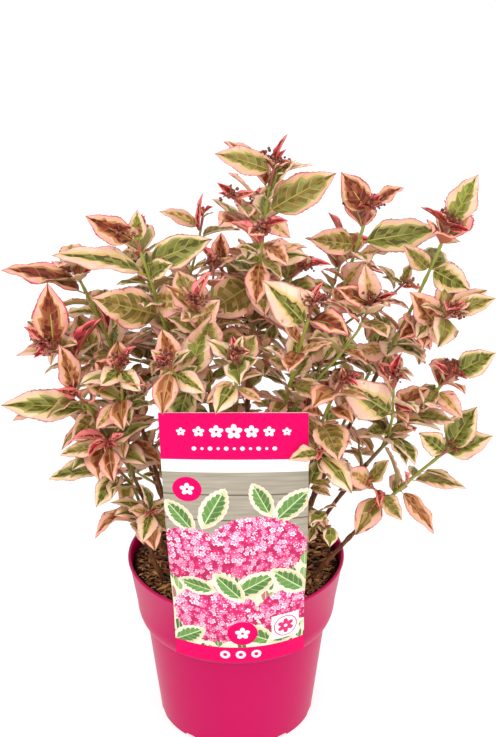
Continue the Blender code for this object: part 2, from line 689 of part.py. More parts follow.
def leaf_samples(corners):
    """Corners of a leaf and points on its edges, without its root."""
    root, right, tip, left, ridge = corners
    samples = [right, tip, left, ridge]
    for side in (left, right):
        samples += [root.lerp(side, 0.6), tip.lerp(side, 0.5)]
    return samples


LEAF_FACES = ((0, 1, 4), (1, 2, 4), (2, 3, 4), (3, 0, 4), (0, 3, 1), (1, 3, 2))


def leaf_tree(leaf):
    """A search tree of a leaf solid's faces."""
    return BVHTree.FromPolygons(leaf_corners(leaf), LEAF_FACES)


def place_leaf(tries, space, solids, placed):
    """The first way to place a leaf that stays in its mass's space and clear
    of limbs and pot, and of the leaves before it where there is one."""
    second_best = None
    for leaf in tries:
        samples = leaf_samples(leaf_corners(leaf))
        if any(space.room(sample) < MARGIN for sample in samples):
            continue
        tree = leaf_tree(leaf)
        if any(tree.overlap(solid) for solid in solids):
            continue
        if not any(tree.overlap(other) for other in placed):
            placed.append(tree)
            return leaf
        second_best = second_best or leaf
    return second_best


def object_tree(body):
    """A search tree of an object's evaluated mesh."""
    return BVHTree.FromObject(body, bpy.context.evaluated_depsgraph_get())


def tube(name, points, radii, collection, finish=None, profile=None):
    """A round tapering tube, or one of a given cross-section, with flat ends."""
    curve = bpy.data.curves.new(name, "CURVE")
    curve.dimensions = "3D"
    curve.use_fill_caps = True
    spline = curve.splines.new("POLY")
    spline.points.add(len(points) - 1)
    for point, place, radius in zip(spline.points, points, radii):
        point.co = (*place, 1.0)
        point.radius = radius
    if profile is None:
        curve.bevel_depth = 1.0
        curve.bevel_resolution = 1
    else:
        curve.bevel_mode = "OBJECT"
        curve.bevel_object = profile
    made = bpy.data.objects.new(name, curve)
    collection.objects.link(made)
    return replace_by_mesh(made, collection, finish)


def leaf_object(name, leaf, collection):
    """A six-faced leaf solid, shaped from a four-sided pyramid."""
    bm = bmesh.new()
    bmesh.ops.create_cone(bm, cap_ends=True, segments=4, radius1=1.0, radius2=0.0, depth=1.0)
    corners = leaf_corners(leaf)
    ring = sorted((vert for vert in bm.verts if vert.co.z < 0),
                  key=lambda vert: math.atan2(vert.co.y, vert.co.x))
    ridge = next(vert for vert in bm.verts if vert.co.z > 0)
    bmesh.ops.connect_verts(bm, verts=[ring[1], ring[3]])
    for vert, corner in zip(ring + [ridge], corners):
        vert.co = corner
    bmesh.ops.recalc_face_normals(bm, faces=bm.faces)
    return new_object(name, mesh_from(bm, name), collection)


def bud_object(name, middle, collection):
    """A knot of flower buds, drawn as one eight-faced ball."""
    bm = bmesh.new()
    bmesh.ops.create_uvsphere(bm, u_segments=4, v_segments=2, radius=BUD_RADIUS)
    for vert in bm.verts:
        vert.co = middle + Vector((vert.co.x, vert.co.y, 0.75 * vert.co.z))
    return new_object(name, mesh_from(bm, name), collection)


def largest_island(mesh):
    """Keep the largest body: loose scraps and sealed hollows go."""
    bm = bmesh.new()
    bm.from_mesh(mesh)
    bm.verts.index_update()
    seen, islands = set(), []
    for start in bm.verts:
        if start in seen:
            continue
        island, queue = [], [start]
        seen.add(start)
        while queue:
            vert = queue.pop()
            island.append(vert)
            for edge in vert.link_edges:
                other = edge.other_vert(vert)
                if other not in seen:
                    seen.add(other)
                    queue.append(other)
        islands.append(island)
    islands.sort(key=len)
    for island in islands[:-1]:
        bmesh.ops.delete(bm, geom=island, context="VERTS")
    bmesh.ops.triangulate(bm, faces=bm.faces)
    bm.to_mesh(mesh)
    bm.free()
    return len(islands) - 1


def join_mass(name, stem, operands, collection, finish):
    """One Boolean union of a stem with every twig, leaf and bud round it."""
    union = stem.modifiers.new("join", "BOOLEAN")
    union.operation = "UNION"
    union.operand_type = "COLLECTION"
    union.collection = operands
    union.solver = "EXACT"
    union.use_self = False
    mesh = evaluated_mesh(stem, name)
    bpy.data.objects.remove(stem)
    for loose in list(operands.objects):
        bpy.data.objects.remove(loose)
    bpy.data.collections.remove(operands)
    dropped = largest_island(mesh)
    mesh.materials.clear()
    print(name, "triangles", len(mesh.polygons), "scraps dropped", dropped)
    return new_object(name, mesh, collection, finish)


def tapered(points, foot, end):
    """Radii that go evenly from one size at the first point to another at the last."""
    last = len(points) - 1
    return [foot + (end - foot) * index / last for index in range(last + 1)]


def grow_limbs(collection, bark):
    """Every shoot's path, and its bare limb below the foliage."""
    paths, limbs = {}, []
    for name, (tip, foot, _, _, leafy) in SHOOTS.items():
        tip, start = Vector(tip), Vector((*foot, SOIL_TOP + GAP))
        lift = foot_lift(start)
        rooted = start + Vector((0, 0, FOOT_LENGTH))
        path = Path([start] + curve_between(rooted, lift, tip, tip_lean(tip), PATH_STEPS))
        paths[name] = path
        end = path.total - leafy
        bare = [start] + path.part(FOOT_LENGTH, end, end / LIMB_STEPS)
        limb = tube("limb_" + name, bare, tapered(bare, LIMB_FOOT_RADIUS, LIMB_END_RADIUS),
                    collection, bark)
        limb.data.shade_smooth()
        limbs.append(limb)
    return paths, limbs


def grow_twigs(paths):
    """The paths of the side twigs inside the masses, under their shoot's name."""
    twigs = {name: [] for name in SHOOTS}
    for name, (tip, parent, below, turn, size) in TWIGS.items():
        tip, path = Vector(tip), paths[parent]
        place, direction = path.at(path.total - below)
        aim = (tip - place).normalized()
        lift = (aim + direction * TWIG_FOLLOW).normalized()
        lean = (aim + Vector((0, 0, TWIG_RISE))).normalized()
        twigs[parent].append((name, Path(curve_between(place, lift, tip, lean, TWIG_STEPS)),
                              turn, size))
    return twigs


def stem_sites(paths, twigs):
    """Points along the stems of every mass, which share out the space between them."""
    sites = {}
    for name, (_, _, _, _, leafy) in SHOOTS.items():
        path = paths[name]
        sites[name] = path.part(path.total - leafy, path.total, STEM_STEP)
        for _, twig, _, _ in twigs[name]:
            sites[name] += twig.part(SITE_START * twig.total, twig.total, STEM_STEP)
    return sites


def three_sides(collection):
    """The cross-section of the stems inside a mass."""
    curve = bpy.data.curves.new("three_sides", "CURVE")
    ring = curve.splines.new("POLY")
    ring.points.add(2)
    ring.use_cyclic_u = True
    for index, point in enumerate(ring.points):
        angle = -2 * math.pi * index / 3
        point.co = (math.cos(angle), math.sin(angle), 0.0, 1.0)
    return new_object("three_sides", curve, collection)


def grow_mass(name, path, twigs, space, solids, profile, collection, foliage):
    """One shoot's foliage: its stem with every twig, leaf and bud joined on."""
    _, _, turn, size, leafy = SHOOTS[name]
    dice = random.Random("leaves of " + name)
    points = path.part(path.total - leafy + GAP, path.total, STEM_STEP)
    path = Path(points)
    stem = tube("stem_" + name, points, tapered(points, STEM_RADIUS, TIP_RADIUS),
                collection, None, profile)
    operands = bpy.data.collections.new("parts_of_" + name)
    bpy.context.scene.collection.children.link(operands)
    grown, taken = set_leaves(name, path)
    grown += leaves_along(path, leafy - AXIL_STEP, math.radians(turn), size, taken, dice)
    tips = [path]
    for twig_name, twig, twig_turn, twig_size in twigs:
        points = twig.part(0.0, twig.total, STEM_STEP)
        if min(space.room(point) for point in points[1:]) < TWIG_ROOM:
            print("twig", twig_name, "leaves its space")
            continue
        tube("twig_" + twig_name, points, tapered(points, STEM_RADIUS, TIP_RADIUS),
             operands, None, profile)
        twig = Path(points)
        tips.append(twig)
        given, taken = set_leaves(twig_name, twig)
        grown += given + leaves_along(twig, twig.total - 2 * AXIL_STEP, math.radians(twig_turn),
                                      twig_size, taken, dice)
    placed = []
    for index, tries in enumerate(grown):
        fit = place_leaf(tries, space, solids, placed)
        if fit is not None:
            leaf_object("leaf_%03d" % index, fit, operands)
    for index, tip_path in enumerate(tips):
        bud_object("bud_%d" % index, tip_path.points[-1], operands)
    join_mass("foliage_" + name, stem, operands, collection, foliage)


def grow_masses(paths, limbs, fixed, collection):
    """Foliage: one solid for each shoot, in its own space and clear of limbs."""
    foliage = material("variegated_leaf", (0.55, 0.33, 0.25), 0.6)
    twigs = grow_twigs(paths)
    sites = stem_sites(paths, twigs)
    solids = [object_tree(limb) for limb in limbs] + fixed
    profile = three_sides(collection)
    for name, path in paths.items():
        grow_mass(name, path, twigs[name], Space(name, sites), solids, profile, collection, foliage)
    bpy.data.objects.remove(profile)


def main():
    for old in list(bpy.data.objects):
        bpy.data.objects.remove(old)
    scene = bpy.context.scene.collection
    collection = bpy.data.collections.new("hydrangea")
    cutters = bpy.data.collections.new("cutters")
    scene.children.link(collection)
    scene.children.link(cutters)
    pot = make_pot(collection, cutters)
    soil = make_soil(collection)
    card = make_card(collection, cutters)
    bark = material("hydrangea_stem", (0.20, 0.13, 0.07), 0.7)
    paths, limbs = grow_limbs(collection, bark)
    fixed = [object_tree(body) for body in (pot, soil, card)]
    grow_masses(paths, limbs, fixed, collection)


main()
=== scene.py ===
# %% [markdown]
# A young variegated hydrangea in its nursery pot, dressed around a fixed frame of solids.
# The frame is loaded first: every piece below takes its place and its sizes from it.

# %% Load the frame
import math
import random

import bmesh
import bpy
import numpy as np
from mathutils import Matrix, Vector
from mathutils.bvhtree import BVHTree


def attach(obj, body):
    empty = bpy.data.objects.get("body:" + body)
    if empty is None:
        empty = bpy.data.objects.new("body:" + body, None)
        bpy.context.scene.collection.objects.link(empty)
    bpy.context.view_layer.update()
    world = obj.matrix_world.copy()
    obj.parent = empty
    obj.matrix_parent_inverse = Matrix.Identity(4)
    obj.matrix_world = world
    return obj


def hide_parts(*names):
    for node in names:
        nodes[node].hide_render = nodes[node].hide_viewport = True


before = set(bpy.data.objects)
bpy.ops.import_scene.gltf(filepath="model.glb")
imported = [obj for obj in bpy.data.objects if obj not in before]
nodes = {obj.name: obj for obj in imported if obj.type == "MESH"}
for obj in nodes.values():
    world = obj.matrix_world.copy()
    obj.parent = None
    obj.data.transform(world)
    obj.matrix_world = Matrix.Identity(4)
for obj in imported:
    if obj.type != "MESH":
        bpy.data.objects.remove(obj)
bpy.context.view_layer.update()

# %% [markdown]
# The camera looks down a little on the plant, from a little over a metre away, as someone
# does who holds a plant up in a shop. The lens is long, so the pot's sides stay
# nearly parallel. The view is plain sRGB, so the colours come out as they are written.

# %% Camera
CAMERA_DISTANCE = 1.16
CAMERA_PITCH = math.radians(24.8)
CAMERA_TARGET = (0.0105, 0.337)      # sideways, and up
CAMERA_LENS = 68.4                   # mm, on a 36 mm sensor

scene = bpy.context.scene
scene.view_settings.view_transform = "Standard"
scene.view_settings.look = "None"
camera_data = bpy.data.cameras.new("camera")
camera_data.lens = CAMERA_LENS
camera_data.sensor_width = 36.0
camera = bpy.data.objects.new("camera", camera_data)
camera.location = (
    CAMERA_TARGET[0],
    -CAMERA_DISTANCE * math.cos(CAMERA_PITCH),
    CAMERA_TARGET[1] + CAMERA_DISTANCE * math.sin(CAMERA_PITCH),
)
camera.rotation_euler = (0.5 * math.pi - CAMERA_PITCH, 0.0, 0.0)
scene.collection.objects.link(camera)
scene.camera = camera
print("camera at", [round(value, 3) for value in camera.location])

# %% [markdown]
# Small helpers. Colours are written as sRGB hex and turned to linear light by one function.
# One function adds a node with its settings and links, for materials and geometry alike.

# %% Helpers


def linear(hex_colour):
    """An sRGB hex colour as linear red, green, blue and alpha."""
    values = [int(hex_colour[index:index + 2], 16) / 255 for index in (1, 3, 5)]
    return [v / 12.92 if v <= 0.04045 else ((v + 0.055) / 1.055) ** 2.4 for v in values] + [1.0]


def add_node(tree, kind, links=None, **settings):
    """Add a node, make its settings, then set or link its inputs."""
    node = tree.nodes.new(kind)
    for name, value in settings.items():
        setattr(node, name, value)
    for key, value in (links or {}).items():
        value = getattr(value, "socket", value)          # of a Level, see below
        if isinstance(value, bpy.types.NodeSocket):
            tree.links.new(value, node.inputs[key])
        else:
            node.inputs[key].default_value = value
    return node


def new_material(name, colour, roughness, **sockets):
    """A Principled material of one plain colour, and its shader; sockets are set by name."""
    made = bpy.data.materials.new(name)
    made.use_nodes = True
    shader = made.node_tree.nodes["Principled BSDF"]
    shader.inputs["Base Color"].default_value = linear(colour)
    shader.inputs["Roughness"].default_value = roughness
    for key, value in sockets.items():
        shader.inputs[key.replace("_", " ")].default_value = value
    return made, shader


def mesh_of(bm, name):
    """Turn a bmesh into a mesh, and free it."""
    mesh = bpy.data.meshes.new(name)
    bm.to_mesh(mesh)
    bm.free()
    return mesh


def link_piece(name, mesh, *materials):
    """Link a new object of a mesh, with its materials."""
    for finish in materials:
        mesh.materials.append(finish)
    piece = bpy.data.objects.new(name, mesh)
    scene.collection.objects.link(piece)
    return piece


def plain_mesh(piece):
    """Replace an object's mesh by what its modifiers make of it."""
    graph = bpy.context.evaluated_depsgraph_get()
    mesh = bpy.data.meshes.new_from_object(piece.evaluated_get(graph))
    piece.modifiers.clear()
    piece.data = mesh
    return mesh


# %% [markdown]
# The floor and the light. A plain white floor under a bright, even sky gives the soft,
# almost shadowless look of a packshot; three large, soft lamps add a little shape.

# %% Floor and light
FLOOR_HALF = 6.0
FLOOR_GLOW = 0.60             # a back-lit table: shadows and pink bounce don't show on it
WHITE = (1.0, 1.0, 1.0, 1.0)
SKY_STRENGTH = 1.20
LAMPS = {                     # place, aim, size in metres, and watts
    "key": ((-0.9, -1.3, 1.9), (0.0, 0.0, 0.3), 1.0, 10.0),
    "fill": ((1.4, -0.8, 1.2), (0.0, 0.0, 0.3), 1.2, 7.0),
    "front": ((0.0, -1.7, 0.7), (0.0, 0.0, 0.35), 1.4, 9.0),
}

bm = bmesh.new()
bmesh.ops.create_grid(bm, x_segments=1, y_segments=1, size=FLOOR_HALF)
white_floor, _ = new_material("white_card", "#B0B0B0", 0.9, Emission_Color=WHITE,
                              Emission_Strength=FLOOR_GLOW)
floor = link_piece("floor", mesh_of(bm, "floor"), white_floor)

world = bpy.data.worlds.new("studio")
world.use_nodes = True
sky = world.node_tree.nodes["Background"]
sky.inputs["Color"].default_value = WHITE
sky.inputs["Strength"].default_value = SKY_STRENGTH
scene.world = world


def add_lamp(name, place, aim, size, watts):
    """A square soft lamp that looks at a point."""
    data = bpy.data.lights.new(name, "AREA")
    data.size = size
    data.energy = watts
    lamp = bpy.data.objects.new(name, data)
    lamp.location = place
    lamp.rotation_euler = (Vector(aim) - Vector(place)).to_track_quat("-Z", "Y").to_euler()
    scene.collection.objects.link(lamp)


for name, lamp in LAMPS.items():
    add_lamp(name, *lamp)
print("lamps", len(LAMPS))

# %% [markdown]
# The pot is a thin shell of injection moulded polypropylene, dyed magenta right through. On
# the real one a tall collar flares out to a rolled lip, a round shoulder steps in to the
# body, and the foot has shallow scallops that let water out. It could be bought as a model
# or sculpted, but it is a turned shape: one half of its section, with arcs where the mould
# is round, is turned about the axis by a Screw modifier, and the scallops are cut after.

# %% Section of the pot
POT_HEIGHT = 0.160
POT_TOP_RADIUS = 0.095
POT_FOOT_RADIUS = 0.0695
POT_WALL = 0.0016
POT_LIP = 0.0022              # how far the rolled lip stands out
COLLAR_FOOT_Z = 0.1176
COLLAR_FOOT_RADIUS = 0.0880
BODY_TOP_Z = 0.0985
BODY_TOP_RADIUS = 0.0802
POT_FLOOR = 0.0060
FOOT_CORNER = 0.0020
POT_STEPS = 144
ROUND_STEPS = 8


def arc(middle, radii, start, end, steps=ROUND_STEPS):
    """Points on a part of an ellipse in the (radius, height) plane, angles in degrees."""
    angles = [math.radians(start + (end - start) * step / steps) for step in range(steps + 1)]
    return [(middle[0] + radii[0] * math.cos(angle), middle[1] + radii[1] * math.sin(angle))
            for angle in angles]


def shoulder(wall):
    """The round step from the collar in to the body, a wall's thickness further in."""
    middle = (BODY_TOP_RADIUS - wall, COLLAR_FOOT_Z)
    radii = (COLLAR_FOOT_RADIUS - BODY_TOP_RADIUS, COLLAR_FOOT_Z - BODY_TOP_Z)
    return arc(middle, radii, 0, -90)


def pot_section():
    """Half of the pot's section, from the rim down outside and back up inside."""
    bead = 0.5 * POT_LIP
    outside = arc((POT_TOP_RADIUS - bead, POT_HEIGHT - bead), (bead, bead), 90, 0)
    outside += [(POT_TOP_RADIUS, POT_HEIGHT - 1.6 * bead),
                (POT_TOP_RADIUS - bead, POT_HEIGHT - 3.2 * bead)]
    outside += shoulder(0.0)
    outside += arc((POT_FOOT_RADIUS - FOOT_CORNER, FOOT_CORNER), (FOOT_CORNER, FOOT_CORNER), 0, -90)
    inside = [(POT_FOOT_RADIUS - POT_WALL, POT_FLOOR)]
    inside += list(reversed(shoulder(POT_WALL)))
    inside += [(POT_TOP_RADIUS - bead - POT_WALL, POT_HEIGHT - 2 * bead)]
    inside += arc((POT_TOP_RADIUS - POT_WALL, POT_HEIGHT - bead), (bead, bead), 170, 100, 4)
    return outside + [(0.0, 0.0), (0.0, POT_FLOOR)] + inside


section = pot_section()
print("pot section of", len(section), "points")

# %% Turn the pot
NOTCH_COUNT = 10
NOTCH_WIDTH = 0.013
NOTCH_HEIGHT = 0.0042
NOTCH_DEPTH = 0.0032


def turned_mesh(name, profile, steps):
    """Turn a profile of (radius, height) points into a plain mesh."""
    bm = bmesh.new()
    verts = [bm.verts.new((radius, 0.0, z)) for radius, z in profile]
    for first, second in zip(verts, verts[1:]):
        bm.edges.new((first, second))
    if profile[0][0] > 0.0:
        bm.edges.new((verts[-1], verts[0]))
    piece = link_piece(name, mesh_of(bm, name))
    screw = piece.modifiers.new("turn", "SCREW")
    screw.steps = screw.render_steps = steps
    screw.use_merge_vertices = True
    screw.merge_threshold = 0.00001
    plain_mesh(piece)
    return piece


def notch_cutters():
    """Round-ended blocks that scallop the foot."""
    bm = bmesh.new()
    for count in range(NOTCH_COUNT):
        angle = 2 * math.pi * (count + 0.5) / NOTCH_COUNT
        block = bmesh.ops.create_cone(
            bm, cap_ends=True, segments=32, radius1=NOTCH_HEIGHT, radius2=NOTCH_HEIGHT,
            depth=2 * NOTCH_DEPTH)["verts"]
        for vert in block:
            radius = POT_FOOT_RADIUS + vert.co.z
            across = vert.co.x * 0.5 * NOTCH_WIDTH / NOTCH_HEIGHT
            vert.co = (radius * math.cos(angle) - across * math.sin(angle),
                       radius * math.sin(angle) + across * math.cos(angle), vert.co.y)
    bmesh.ops.recalc_face_normals(bm, faces=bm.faces)
    return link_piece("notches", mesh_of(bm, "notches"))


pot = turned_mesh("moulded_pot", section, POT_STEPS)
notches = notch_cutters()
cut = pot.modifiers.new("notches", "BOOLEAN")
cut.operation = "DIFFERENCE"
cut.object = notches
plain_mesh(pot)
bpy.data.objects.remove(notches)
pot.data.shade_smooth()
pot.data.set_sharp_from_angle(angle=math.radians(35))
print("pot faces", len(pot.data.polygons))

# %% [markdown]
# Moulded polypropylene: a satin skin with a soft broad highlight, and a paler gleam where
# the wall turns away. Its sheen isn't even: the melt leaves very faint flow marks, and the
# skin has a fine grain of about a third of a millimetre, drawn a little coarser to show.

# %% Pot plastic
PLASTIC_GRAIN = 0.0006        # metres between bumps


def object_coordinates(tree):
    """The Object coordinates of a material's piece."""
    return add_node(tree, "ShaderNodeTexCoord").outputs["Object"]


def mottled(tree, place, scale, detail, tones, stops=(0.0, 1.0)):
    """A soft random level over a piece, and the two tones that it blends."""
    level = add_node(tree, "ShaderNodeTexNoise", {
        "Vector": place, "Scale": scale, "Detail": detail}).outputs["Fac"]
    blend = add_node(tree, "ShaderNodeValToRGB", {"Fac": level})
    for element, tone, stop in zip(blend.color_ramp.elements, tones, stops):
        element.color = linear(tone)
        element.position = stop
    return level, blend.outputs["Color"]


def roughen(shader, level, strength, depth):
    """Let a level show as small bumps of a depth in metres."""
    tree = shader.id_data
    bump = add_node(tree, "ShaderNodeBump", {
        "Height": level, "Strength": strength, "Distance": depth})
    tree.links.new(bump.outputs["Normal"], shader.inputs["Normal"])


def moulded_polypropylene():
    """Magenta satin plastic with a faint grain and flow marks."""
    made, shader = new_material("moulded_polypropylene", "#B2044F", 0.34, IOR=1.49,
                                Specular_IOR_Level=0.12)
    tree = made.node_tree
    place = object_coordinates(tree)
    flow, tint = mottled(tree, place, 9.0, 3.0, ("#AD024C", "#B60652"))
    tree.links.new(tint, shader.inputs["Base Color"])
    gloss = add_node(tree, "ShaderNodeMapRange", {
        "Value": flow, "From Min": 0.3, "From Max": 0.7, "To Min": 0.30, "To Max": 0.40})
    tree.links.new(gloss.outputs["Result"], shader.inputs["Roughness"])
    grain = add_node(tree, "ShaderNodeTexNoise", {"Vector": place, "Scale": 1 / PLASTIC_GRAIN})
    roughen(shader, grain.outputs["Fac"], 0.12, 0.0002)
    return made


pot.data.materials.clear()
pot.data.materials.append(moulded_polypropylene())
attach(pot, "root")
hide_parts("pot")

# %% [markdown]
# The pot is filled with dark compost under a mulch of shredded bark. The compost is a low,
# uneven surface that mostly shows as dark gaps: a turned disc whose top is pushed up and down
# by a few crossing waves, and which climbs towards the pot's wall like a saucer.

# %% Compost
SOIL_TOP = 0.1425
SOIL_RADIUS = 0.0893
SOIL_SKIRT = 0.006
SOIL_RINGS = 30
SOIL_WAVES = 9
SOIL_LUMP = 0.0016
SOIL_HEAP = 0.0035            # settled heap over the level that the stems stand on
SOIL_CLIMB = 0.0060           # and this much higher still at the wall
CLIMB_START = 0.055
SOIL_SIDES = 96
SOIL_PITCHES = (60, 260)      # of the waves, in radians a metre
FULL_TURN = 6.28              # radians, near enough for a random direction
CRUMB = 1 / 420               # metres


def composted_bark():
    """Damp composted bark: nearly black brown, matt, in crumbs of a millimetre or two."""
    made, shader = new_material("composted_bark", "#2A1A10", 0.95, Specular_IOR_Level=0.12)
    tree = made.node_tree
    crumbs, tint = mottled(tree, object_coordinates(tree), 1 / CRUMB, 4.0, ("#140A05", "#402413"))
    tree.links.new(tint, shader.inputs["Base Color"])
    roughen(shader, crumbs, 0.8, 0.001)
    return made


def soil_level(radius):
    """Height of the settled compost at a distance from the middle."""
    share = max(0.0, radius - CLIMB_START) / (SOIL_RADIUS - CLIMB_START)
    return SOIL_TOP + SOIL_HEAP + SOIL_CLIMB * share ** 1.5


soil_section = [(SOIL_RADIUS * ring / SOIL_RINGS, SOIL_TOP) for ring in range(SOIL_RINGS + 1)]
soil_section += [(SOIL_RADIUS, SOIL_TOP - SOIL_SKIRT), (0.0, SOIL_TOP - SOIL_SKIRT)]
compost = turned_mesh("compost_fill", soil_section, SOIL_SIDES)
dice = random.Random("compost")
waves = [(dice.uniform(*SOIL_PITCHES), dice.uniform(0, FULL_TURN), dice.uniform(0, FULL_TURN))
         for _ in range(SOIL_WAVES)]
for vert in compost.data.vertices:
    if vert.co.z > SOIL_TOP - 0.5 * SOIL_SKIRT:
        lump = sum(math.sin(pitch * (vert.co.x * math.cos(turn) + vert.co.y * math.sin(turn)) + start)
                   for pitch, turn, start in waves) / SOIL_WAVES
        vert.co.z = soil_level(math.hypot(vert.co.x, vert.co.y)) + SOIL_LUMP * (lump - 0.5)
compost.data.shade_smooth()
compost.data.materials.append(composted_bark())
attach(compost, "root")
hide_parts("compost")
print("compost faces", len(compost.data.polygons))

# %% [markdown]
# Node trees work things out by chains of Math nodes, which are hard to read when each node is
# added by hand. A small class lets a script write the sum as a sum instead: plus, minus, times
# or "less than" between two levels adds the Math node that does it.
#
# The mulch is hundreds of split, fibrous chips that lie nearly flat on each other. Placing
# them by hand is hopeless and a particle system would be lost in an export, so Geometry Nodes
# scatter them: one tree takes a disc, deals out points with a fixed seed, puts one of a few
# chip shapes on each at its own turn, tilt and size, and makes the result real. Each chip
# gets one plain brown, from nearly black to a dry tan.

# %% Arithmetic in node trees


class Level:
    """A number that a node tree works out; each step of arithmetic on it adds a Math node."""

    def __init__(self, socket):
        self.socket = socket

    def step(self, operation, first, second):
        """Add the node of one step."""
        node = add_node(self.socket.id_data, "ShaderNodeMath", {0: first, 1: second},
                        operation=operation)
        return Level(node.outputs["Value"])

    def take(self, operation, other=0.0):
        """A step that has no sign of its own, such as a sine."""
        return self.step(operation, self, other)

    def __abs__(self):
        return self.take("ABSOLUTE")


# Each sign works with a level before it or after it, and a plain number on the other side.
for sign, operation in {"add": "ADD", "sub": "SUBTRACT", "mul": "MULTIPLY", "truediv": "DIVIDE",
                        "pow": "POWER", "gt": "GREATER_THAN", "lt": "LESS_THAN"}.items():
    setattr(Level, f"__{sign}__", lambda self, other, operation=operation:
            self.step(operation, self, other))
    setattr(Level, f"__r{sign}__", lambda self, other, operation=operation:
            self.step(operation, other, self))

# %% Helpers for Geometry Nodes


def new_geometry_tree(name, **sockets):
    """A Geometry Nodes tree with geometry in and out, and named inputs."""
    tree = bpy.data.node_groups.new(name, "GeometryNodeTree")
    tree.interface.new_socket("Geometry", in_out="INPUT", socket_type="NodeSocketGeometry")
    for label, kind in sockets.items():
        tree.interface.new_socket(label, in_out="INPUT", socket_type="NodeSocket" + kind)
    tree.interface.new_socket("Geometry", in_out="OUTPUT", socket_type="NodeSocketGeometry")
    return tree, add_node(tree, "NodeGroupInput").outputs


def named(tree, attribute, kind="FLOAT"):
    """The values of a named attribute."""
    node = add_node(tree, "GeometryNodeInputNamedAttribute", {"Name": attribute}, data_type=kind)
    return Level(node.outputs["Attribute"])


def finish_by_tone(tree, geometry, finishes):
    """Give each face the material of its tone, and end the tree."""
    tone = named(tree, "tone", "INT")
    for index, finish in enumerate(finishes):
        same = add_node(tree, "FunctionNodeCompare", {"A": tone, "B": index},
                        data_type="INT", operation="EQUAL")
        painted = add_node(tree, "GeometryNodeSetMaterial", {
            "Geometry": geometry, "Selection": same.outputs["Result"], "Material": finish})
        geometry = painted.outputs["Geometry"]
    add_node(tree, "NodeGroupOutput", {"Geometry": geometry})


def parts_of(tree, collection):
    """The shapes of a collection, to pick from."""
    pick = add_node(tree, "GeometryNodeCollectionInfo", {
        "Collection": collection, "Separate Children": True, "Reset Children": True})
    return {"Instance": pick.outputs["Instances"], "Pick Instance": True}


def dealt_out(tree, points, inputs):
    """Put a shape on each point, and make them real."""
    dealt = add_node(tree, "GeometryNodeInstanceOnPoints", {"Points": points, **inputs})
    real = add_node(tree, "GeometryNodeRealizeInstances", {"Geometry": dealt.outputs["Instances"]})
    return real.outputs["Geometry"]


def run_tree(piece, tree, **values):
    """Run a tree on a piece with its inputs set, and keep what it makes as a plain mesh."""
    modifier = piece.modifiers.new(tree.name, "NODES")
    modifier.node_group = tree
    for socket in tree.interface.items_tree:
        if socket.in_out == "INPUT" and socket.name in values:
            modifier[socket.identifier] = values[socket.name]
    plain_mesh(piece)
    return piece


def keep_shapes(name, meshes):
    """A collection of shapes that a tree picks from by number; it isn't shown itself."""
    shapes = bpy.data.collections.new(name)
    for index, mesh in enumerate(meshes):
        shapes.objects.link(bpy.data.objects.new(f"{name}_{index:02d}", mesh))
    return shapes


# %% Chip shapes
CHIP_SHAPES = 8
CHIP_STATIONS = 5
CHIP_TONES = ("#3A2212", "#5A3618", "#7A4A26", "#96602F", "#B07E48", "#82431F", "#C9A06A")


def chip_shape(number):
    """A splinter of bark: a bent, flattened bar with ragged ends."""
    dice = random.Random(f"chip {number}")
    length = dice.uniform(0.009, 0.018)
    width = dice.uniform(0.0016, 0.0046)
    thick = dice.uniform(0.0007, 0.0016)
    bend = dice.uniform(-0.15, 0.15)
    bm = bmesh.new()
    rings = []
    for station in range(CHIP_STATIONS):
        share = station / (CHIP_STATIONS - 1)
        swell = (0.35 + 1.3 * math.sqrt(share * (1 - share))) * dice.uniform(0.75, 1.2)
        x = (share - 0.5) * length
        middle = bend * length * (4 * share * (1 - share)) + dice.uniform(-0.1, 0.1) * width
        corners = ((-0.5, 0.5), (0.5, 0.4), (0.5, -0.5), (-0.5, -0.4))
        rings.append([bm.verts.new((
            x + dice.uniform(-0.06, 0.06) * length,
            middle + side * width * swell * dice.uniform(0.8, 1.2),
            level * thick * swell)) for side, level in corners])
    for first, second in zip(rings, rings[1:]):
        for corner in range(4):
            after = (corner + 1) % 4
            bm.faces.new((first[corner], first[after], second[after], second[corner]))
    bm.faces.new(list(reversed(rings[0])))
    bm.faces.new(rings[-1])
    bmesh.ops.recalc_face_normals(bm, faces=bm.faces)
    return mesh_of(bm, "chip")


def shredded_bark(colour):
    """Dry shredded bark: a fibrous, quite matt brown, one plain tone for each chip."""
    return new_material("shredded_bark", colour, 0.85)[0]


chip_shapes = keep_shapes("chip_shapes", [chip_shape(number) for number in range(CHIP_SHAPES)])

# %% Scatter the mulch
LAYERS = {                    # rings that carry chips, chips a square metre, least and most size
    "bark_mulch": ((0.0, 0.055, 0.0700, 0.0795), 60000.0, 0.6, 1.0),
    "bark_crumbs": ((0.0770, 0.0820, 0.0865), 100000.0, 0.25, 0.42),      # against the wall
}
MULCH_SIDES = 48
MULCH_LAYER = 0.0055          # how deep the chips pile up
CHIP_TILT = 0.30              # radians


